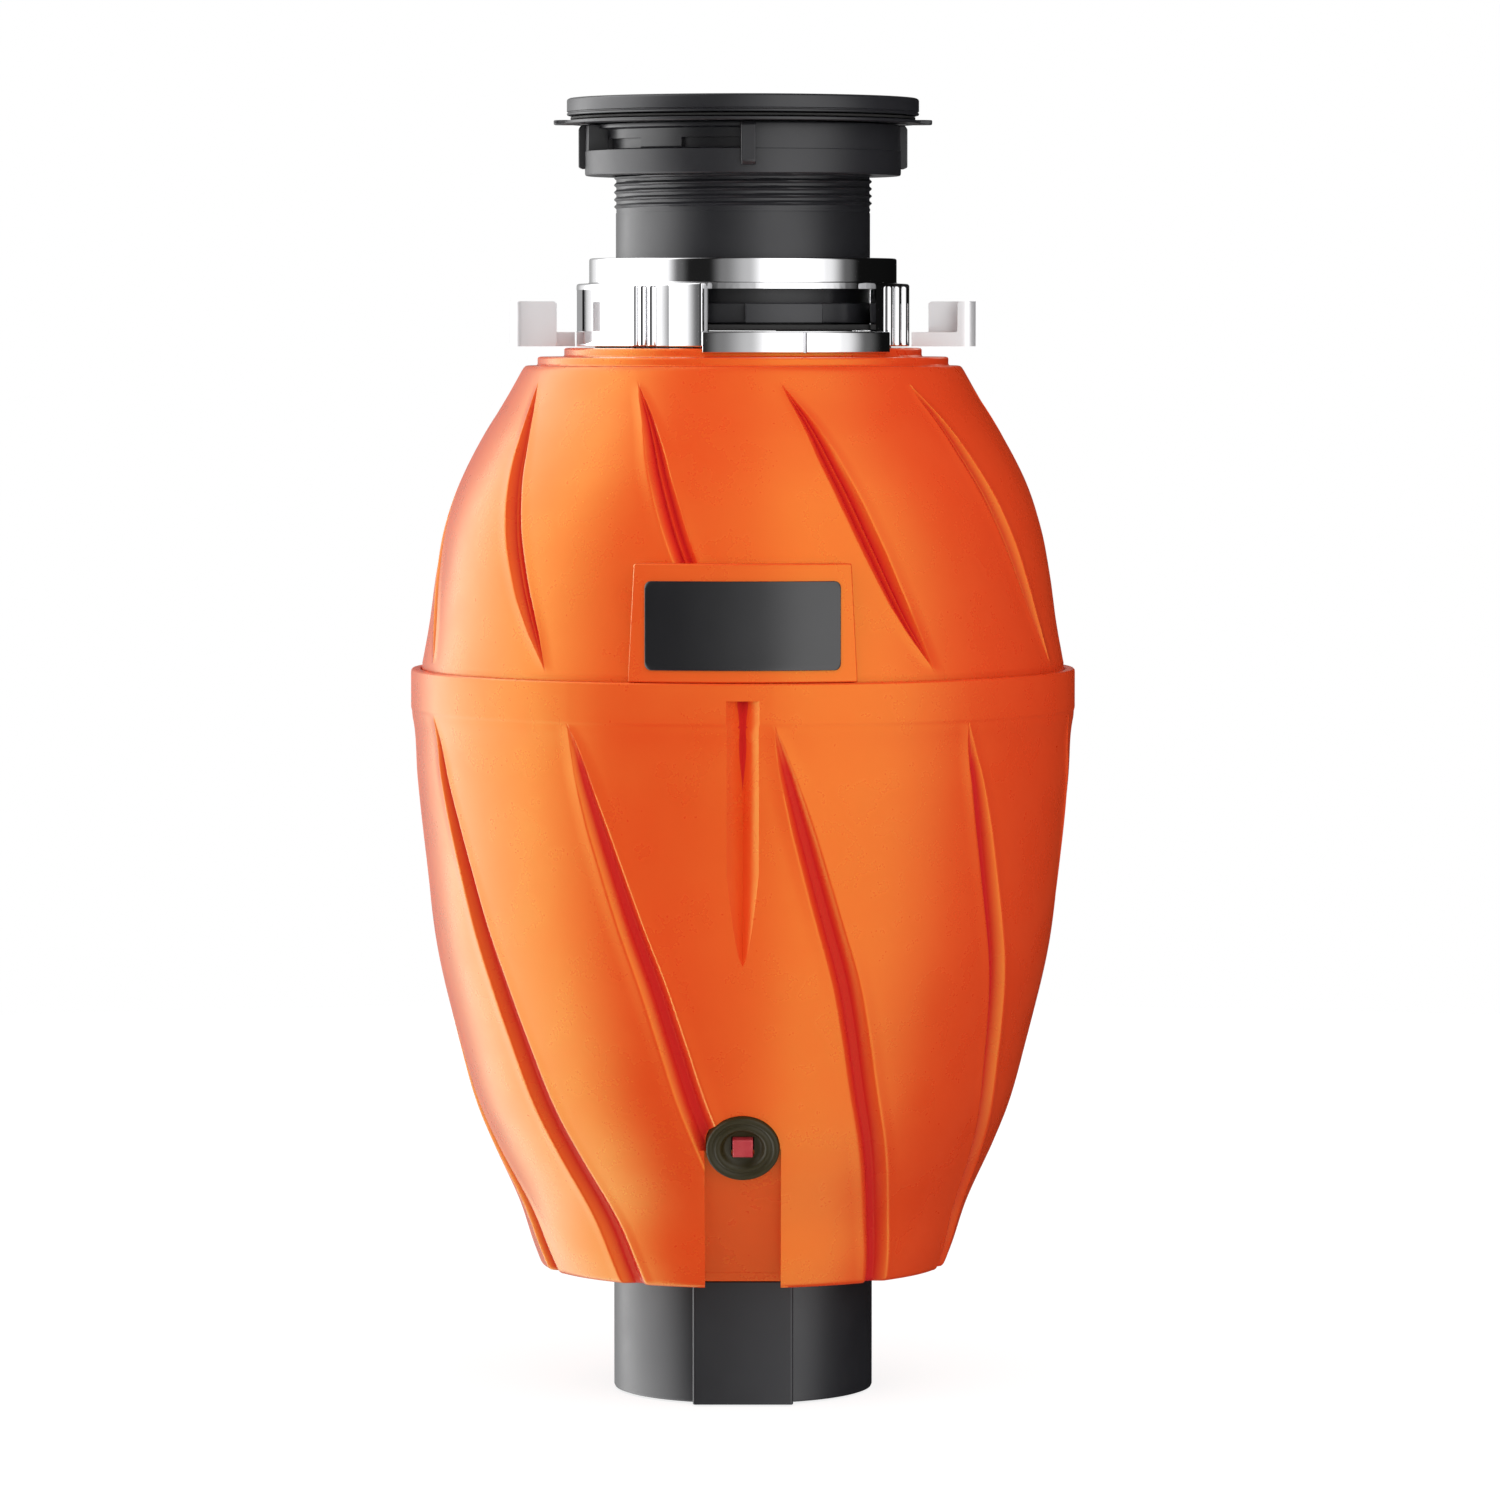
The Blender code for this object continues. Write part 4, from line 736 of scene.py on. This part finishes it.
for k, (a, b) in enumerate(((18.9, 20.1), (198.9, 200.1))):
    me = lathe_mesh(f"band_seam_{k}", [(52.6, 333.6), (57.3, 333.6), (57.4, 331.6), (57.7, 331.6), (57.7, 338.0), (52.6, 338.0)], cols=4, phi0=a, phi1=b)
    piece(f"band_seam_{k}", me, "steel_sheet", "lock", ["lock_ring"])
# bent edges of the windows
for k, a in enumerate((-12.8, 52.8, 167.2, 232.8)):
    v = [(-0.7, -50.7, 335.0), (0.7, -50.7, 335.0), (0.7, -53.0, 335.0), (-0.7, -53.0, 335.0)]
    v += [(x, y, 351.6) for x, y, _ in v]
    f = [(0, 1, 2, 3), (7, 6, 5, 4), (0, 4, 5, 1), (1, 5, 6, 2), (2, 6, 7, 3), (3, 7, 4, 0)]
    me = mesh_from(f"window_edge_{k}", v, f)
    me.transform(Matrix.Rotation(math.radians(a), 4, "Z"))
    bevel(piece(f"window_edge_{k}", me, "chrome_metal", "lock", ["lock_ring"]), 0.3, 3)
# flared panels beside the long windows
def polar_pt(r, a):
    return (r * math.sin(math.radians(a)), -r * math.cos(math.radians(a)))


for k, turn in enumerate((0.0, 180.0)):
    o = [polar_pt(52.3, -29.4 + turn), polar_pt(57.4, -13.6 + turn), polar_pt(57.3, -12.7 + turn), polar_pt(49.4, -12.4 + turn),
         polar_pt(49.4, -29.0 + turn)]
    bevel(piece(f"flared_panel_{k}", prism_mesh(f"flared_panel_{k}", o, 333.45, 353.35), "chrome_metal", "lock",
                ["lock_ring"]), 0.35, 3)
# pleats that stiffen the skirt
count = 0
for base_a in (0, 180):
    for a, w in ((-39.2, 1.1), (-36.2, 1.5), (-32.4, 1.5), (59.5, 1.7), (65.5, 2.0), (72.5, 2.0)):
        prof = soften([(0, 333.6), (w, 333.6), (w, 352.6), (0, 352.6)], [0, 0.4, 0.7, 0], 3, closed=False)
        me = lathe_mesh(f"pleat_{count}", prof, cols=20, closed=False)
        rr = 53.05 - w * 0.35
        me.transform(Matrix.Translation((0, -rr * MM, 0)))
        me.transform(Matrix.Rotation(math.radians(a + base_a), 4, "Z"))
        me.transform(Matrix.Diagonal((1.008, 1.008, 1.0, 1.0)))
        piece(f"pleat_{count}", me, "chrome_metal", "lock", ["lock_ring"])
        count += 1


def ribbon(name, pts, thick):
    """A strip on edge along a path in plan; each point is x, y, bottom, top."""
    p = np.array(pts, float)
    n = len(p)
    side = []
    for i in range(n):
        a, b = p[max(i - 1, 0), :2], p[min(i + 1, n - 1), :2]
        d = b - a
        ln = np.linalg.norm(d)
        d = d / ln if ln > 1e-6 else np.array([1.0, 0.0])
        side.append(np.array([-d[1], d[0]]))
    v, f = [], []
    for i in range(n):
        o = side[i] * thick / 2
        x, y, z0, z1 = p[i]
        v += [(x - o[0], y - o[1], z0), (x + o[0], y + o[1], z0), (x + o[0], y + o[1], z1), (x - o[0], y - o[1], z1)]
    for i in range(n - 1):
        a, b = i * 4, i * 4 + 4
        for j in range(4):
            f.append((a + j, a + (j + 1) % 4, b + (j + 1) % 4, b + j))
    f += [(0, 3, 2, 1), ((n - 1) * 4, (n - 1) * 4 + 1, (n - 1) * 4 + 2, (n - 1) * 4 + 3)]
    return mesh_from(name, v, f, merge=0.0000005)


for name, node, turn in (("hook_right", "lock_lug_right", 0.0), ("hook_left", "lock_lug_left", 180.0)):
    path = [(53.7, -4.2, 333.5, 338.0), (60.0, -4.2, 333.5, 338.0), (67.6, -4.2, 333.5, 338.0),
            (68.05, -4.2, 333.5, 338.2), (68.2, -4.2, 333.5, 338.6), (68.25, -4.2, 333.5, 347.2), (68.7, -4.2, 333.5, 347.7),
            (69.2, -4.2, 333.5, 347.8), (70.4, -4.2, 333.5, 347.8)]
    for a in np.linspace(-80, 80, 13):
        path.append((70.4 + 3.1 * math.cos(math.radians(a)), 4.2 * math.sin(math.radians(a)), 333.5, 347.8))
    path += [(70.4, 4.2, 333.5, 347.8), (66.0, 4.2, 333.5, 347.8), (60.2, 4.2, 333.5, 347.8), (59.6, 4.2, 333.6, 347.5),
             (59.3, 4.2, 334.0, 347.1)]
    me = ribbon(name, path, 1.4)
    me.transform(Matrix.Rotation(math.radians(turn), 4, "Z"))
    hook = bevel(piece(name, me, "chrome_metal", "lock", [node]), 0.3, 3, 50) or bpy.data.objects[name]
    hook.data.materials[0] = M["satin_plate"]

# ------------------------------------------------- bayonet collar, gasket, guard
lathe("bayonet_ring", soften([(40.95, 340.85), (45.0, 340.85), (45.0, 347.15), (40.95, 347.15)], 0.4, 3),
      "black_plastic", "root", ["bayonet_collar"], cols=140)
for k in range(4):
    a = 15.4 + 90 * k
    me = lathe_mesh(f"bayonet_tab_{k}", soften([(44.6, 340.9), (50.3, 340.9), (50.35, 347.1), (44.6, 347.1)],
                                               [0, 0.4, 0.6, 0], 3), cols=20, phi0=a - 14.5, phi1=a + 14.5)
    bevel(piece(f"bayonet_tab_{k}", me, "black_plastic", "root", ["bayonet_collar"]), 0.35, 3)
lathe("seat_gasket", soften([(40.95, 338.55), (50.1, 338.55), (50.1, 340.45), (40.95, 340.45)], 0.5, 3), "rubber_black",
      "root", ["mount_gasket"], cols=120)


def flaps(r, z, ph):
    """Eight cuts in the membrane, each lip a little lower than the middle of its flap."""
    z = np.full(len(ph), z)
    if r < 33.5 and z[0] < 393:
        f = (np.degrees(ph) / 45.0) % 1.0
        d = np.minimum(f, 1 - f) * 45.0
        k = min(1.0, max(0.0, (33.5 - r) / 4.0))
        z = z - k * (1.3 * np.exp(-((d / 1.3) ** 2)) + 0.6 * np.exp(-((d / 6.0) ** 2)))
    return z


guard = soften([(36.05, 384.7), (37.9, 384.7), (37.95, 399.9), (37.0, 399.95), (36.2, 398.8), (36.2, 391.4)], [0.3, 0.4, 0.3, 0.3, 0.4, 1.2], 3)
guard += [(float(r), 391.4 - 0.012 * (36 - r) ** 1.2 * 1.0) for r in np.linspace(34, 15, 14)]
guard += [(13.6, 391.0), (13.1, 390.4), (13.6, 389.8)]
guard += [(float(r), 389.5) for r in np.linspace(15, 34, 12)] + [(36.05, 389.3)]
guard = [(r, min(max(z, 386.6), 399.95)) if r < 35 else (r, z) for r, z in guard]
lathe("flap_guard", guard, "rubber_black", "guard", ["splash_guard"], cols=256, zfun=flaps)

# --------------------------------------------------------- back of the disposer
grom = soften([(22.4, 0.0), (26.0, 0.0), (26.0, 9.2), (25.2, 9.85), (22.4, 9.85)], [0.3, 0.6, 0.6, 0.6, 0.5], 3)
piece("outlet_sleeve", tube_mesh("outlet_sleeve", grom, (0, 95.05, 231.5), (0, 1, 0), cols=96), "rubber_black", "root",
      ["outlet_grommet"])
drain = [(76.0, 254.0), (76.0, 250.5), (70.0, 247.5), (70.0, 212.0), (66.0, 203.3), (59.7, 203.3), (59.7, 196.0),
         (52.0, 196.0), (52.0, 203.0), (20.0, 205.0), (20.0, 190.0), (13.3, 190.0), (13.3, 206.3), (9.6, 206.3),
         (9.6, 208.8), (12.3, 208.8), (12.3, 215.2), (16.0, 215.2), (19.0, 210.5), (57.0, 209.5), (63.8, 216.0),
         (63.8, 254.0)]
bowl = lathe("drain_bowl", soften(drain, 0.5, 2), "cast_metal", "root", ["drain_housing"], cols=120)
cut(bowl, cutter("bowl_bore", tube_mesh("bowl_bore", [(0, 0), (17.5, 0), (17.5, 60), (0, 60)], (0, 50, 231.5), (0, 1, 0),
                                        closed=False)))
spout = soften([(17.5, 0.0), (21.9, 0.0), (21.95, 38.6), (21.2, 39.4), (18.6, 39.4), (17.9, 38.8)], [0, 0, 0.5, 0.3, 0.4, 0.4], 3)
piece("outlet_spout", tube_mesh("outlet_spout", spout, (0, 66.65, 231.5), (0, 1, 0), cols=96), "cast_metal", "root",
      ["drain_housing"])

hop_lo, hop_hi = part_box("hopper")
nip = soften([(8.5, 0.0), (10.9, 0.0), (10.9, 24.2), (11.0, 26.5), (10.3, 27.2), (10.3, 28.2), (11.0, 28.9), (11.0, 31.0),
              (10.2, 31.9), (9.0, 31.9), (8.5, 31.4)], 0.3, 3)
piece("hose_nipple", tube_mesh("hose_nipple", nip, (0, 72.0, 291.0), (0, 1, 0), cols=72), "pale_plastic", "root")

# -------------------------------------------------------------- light and floor
floor_me = bpy.data.meshes.new("floor")
bm = bmesh.new()
bmesh.ops.create_circle(bm, cap_ends=True, segments=96, radius=1.3)
bm.to_mesh(floor_me)
bm.free()
floor = bpy.data.objects.new("floor", floor_me)
floor.location = (0, 0, -0.0005)
floor.visible_glossy = False
bpy.context.scene.collection.objects.link(floor)
fm, fnt, fb = nodes_of("pale_floor")
fnt.links.new(mix(fnt, noise(fnt, 3.0), (0.34, 0.34, 0.34), (0.36, 0.36, 0.36)), fb.inputs["Base Color"])
fb.inputs["Roughness"].default_value = 0.9
fb.inputs["Specular IOR Level"].default_value = 0.0
fb.inputs["Emission Color"].default_value = (1, 1, 1, 1)
flp = fnt.nodes.new("ShaderNodeLightPath")
fnt.links.new(ramp(fnt, flp.outputs["Is Camera Ray"], 0.0, 1.0, 0.35, 0.80), fb.inputs["Emission Strength"])
floor_me.materials.append(fm)

world = bpy.data.worlds.new("studio")
bpy.context.scene.world = world
world.use_nodes = True
wn = world.node_tree
wn.nodes.clear()
co = wn.nodes.new("ShaderNodeTexCoord")
sep = wn.nodes.new("ShaderNodeSeparateXYZ")
wn.links.new(co.outputs["Generated"], sep.inputs[0])
neg = wn.nodes.new("ShaderNodeMath")
neg.operation = "MULTIPLY"
neg.inputs[1].default_value = -1.0
wn.links.new(sep.outputs["Y"], neg.inputs[0])
az = wn.nodes.new("ShaderNodeMath")
az.operation = "ARCTAN2"
wn.links.new(sep.outputs["X"], az.inputs[0])
wn.links.new(neg.outputs[0], az.inputs[1])
az01 = ramp(wn, az.outputs[0], -math.pi, math.pi, 0.0, 1.0)
cr = wn.nodes.new("ShaderNodeValToRGB")
cr.color_ramp.interpolation = "EASE"
wn.links.new(az01, cr.inputs[0])
STOPS = [(-180, 0.08), (-164, 0.12), (-146, 0.26), (-134, 0.96), (-80, 0.96), (-64, 0.48), (-49, 0.04), (-40, 0.004), (-25, 0.004), (-14, 0.06),
         (4, 0.16), (22, 0.52), (54, 0.50), (67, 0.28), (84, 0.035), (98, 0.0015), (180, 0.08)]
STOPS[-1:] = [(168, 0.001), (180, 0.08)]
els = cr.color_ramp.elements
while len(els) > 1:
    els.remove(els[-1])
for i, (deg, v) in enumerate(STOPS):
    e = els[0] if i == 0 else els.new((deg + 180) / 360)
    e.position = (deg + 180) / 360
    e.color = (v, v, v, 1)
el = wn.nodes.new("ShaderNodeValToRGB")
wn.links.new(ramp(wn, sep.outputs["Z"], -1, 1, 0, 1), el.inputs[0])
el.color_ramp.elements[0].position = 0.0
el.color_ramp.elements[0].color = (0.4, 0.4, 0.4, 1)
el.color_ramp.elements[1].position = 0.10
el.color_ramp.elements[1].color = (1, 1, 1, 1)
for pos, v in ((0.86, 0.92), (0.95, 0.30), (1.0, 0.20)):
    e = el.color_ramp.elements.new(pos)
    e.color = (v, v, v, 1)
mul = wn.nodes.new("ShaderNodeMix")
mul.data_type = "RGBA"
mul.blend_type = "MULTIPLY"
mul.inputs[0].default_value = 1.0
wn.links.new(cr.outputs[0], mul.inputs[6])
wn.links.new(el.outputs[0], mul.inputs[7])
bg = wn.nodes.new("ShaderNodeBackground")
bg.inputs["Strength"].default_value = 4.0
wn.links.new(mul.outputs[2], bg.inputs["Color"])
white = wn.nodes.new("ShaderNodeBackground")
white.inputs["Color"].default_value = (1, 1, 1, 1)
white.inputs["Strength"].default_value = 1.0
lp = wn.nodes.new("ShaderNodeLightPath")
ms = wn.nodes.new("ShaderNodeMixShader")
wn.links.new(lp.outputs["Is Camera Ray"], ms.inputs[0])
wn.links.new(bg.outputs[0], ms.inputs[1])
wn.links.new(white.outputs[0], ms.inputs[2])
fill = wn.nodes.new("ShaderNodeBackground")
fill.inputs["Color"].default_value = (1, 1, 1, 1)
wn.links.new(ramp(wn, neg.outputs[0], -1.0, 1.0, 0.10, 1.58), fill.inputs["Strength"])
md = wn.nodes.new("ShaderNodeMixShader")
wn.links.new(lp.outputs["Is Diffuse Ray"], md.inputs[0])
wn.links.new(ms.outputs[0], md.inputs[1])
wn.links.new(fill.outputs[0], md.inputs[2])
out = wn.nodes.new("ShaderNodeOutputWorld")
wn.links.new(md.outputs[0], out.inputs["Surface"])
world.cycles.sampling_method = "NONE"

cam = bpy.data.cameras.new("camera")
cam.lens = 173.1
cam.sensor_width = 36.0
cam.clip_end = 50.0
cam_obj = bpy.data.objects.new("camera", cam)
cam_obj.location = (0.00224, -2.304, 0.3405)
cam_obj.rotation_euler = (math.radians(90 - 3.378), 0, 0)
bpy.context.scene.collection.objects.link(cam_obj)
bpy.context.scene.camera = cam_obj
bpy.context.scene.view_settings.view_transform = "Standard"
bpy.context.scene.view_settings.look = "None"
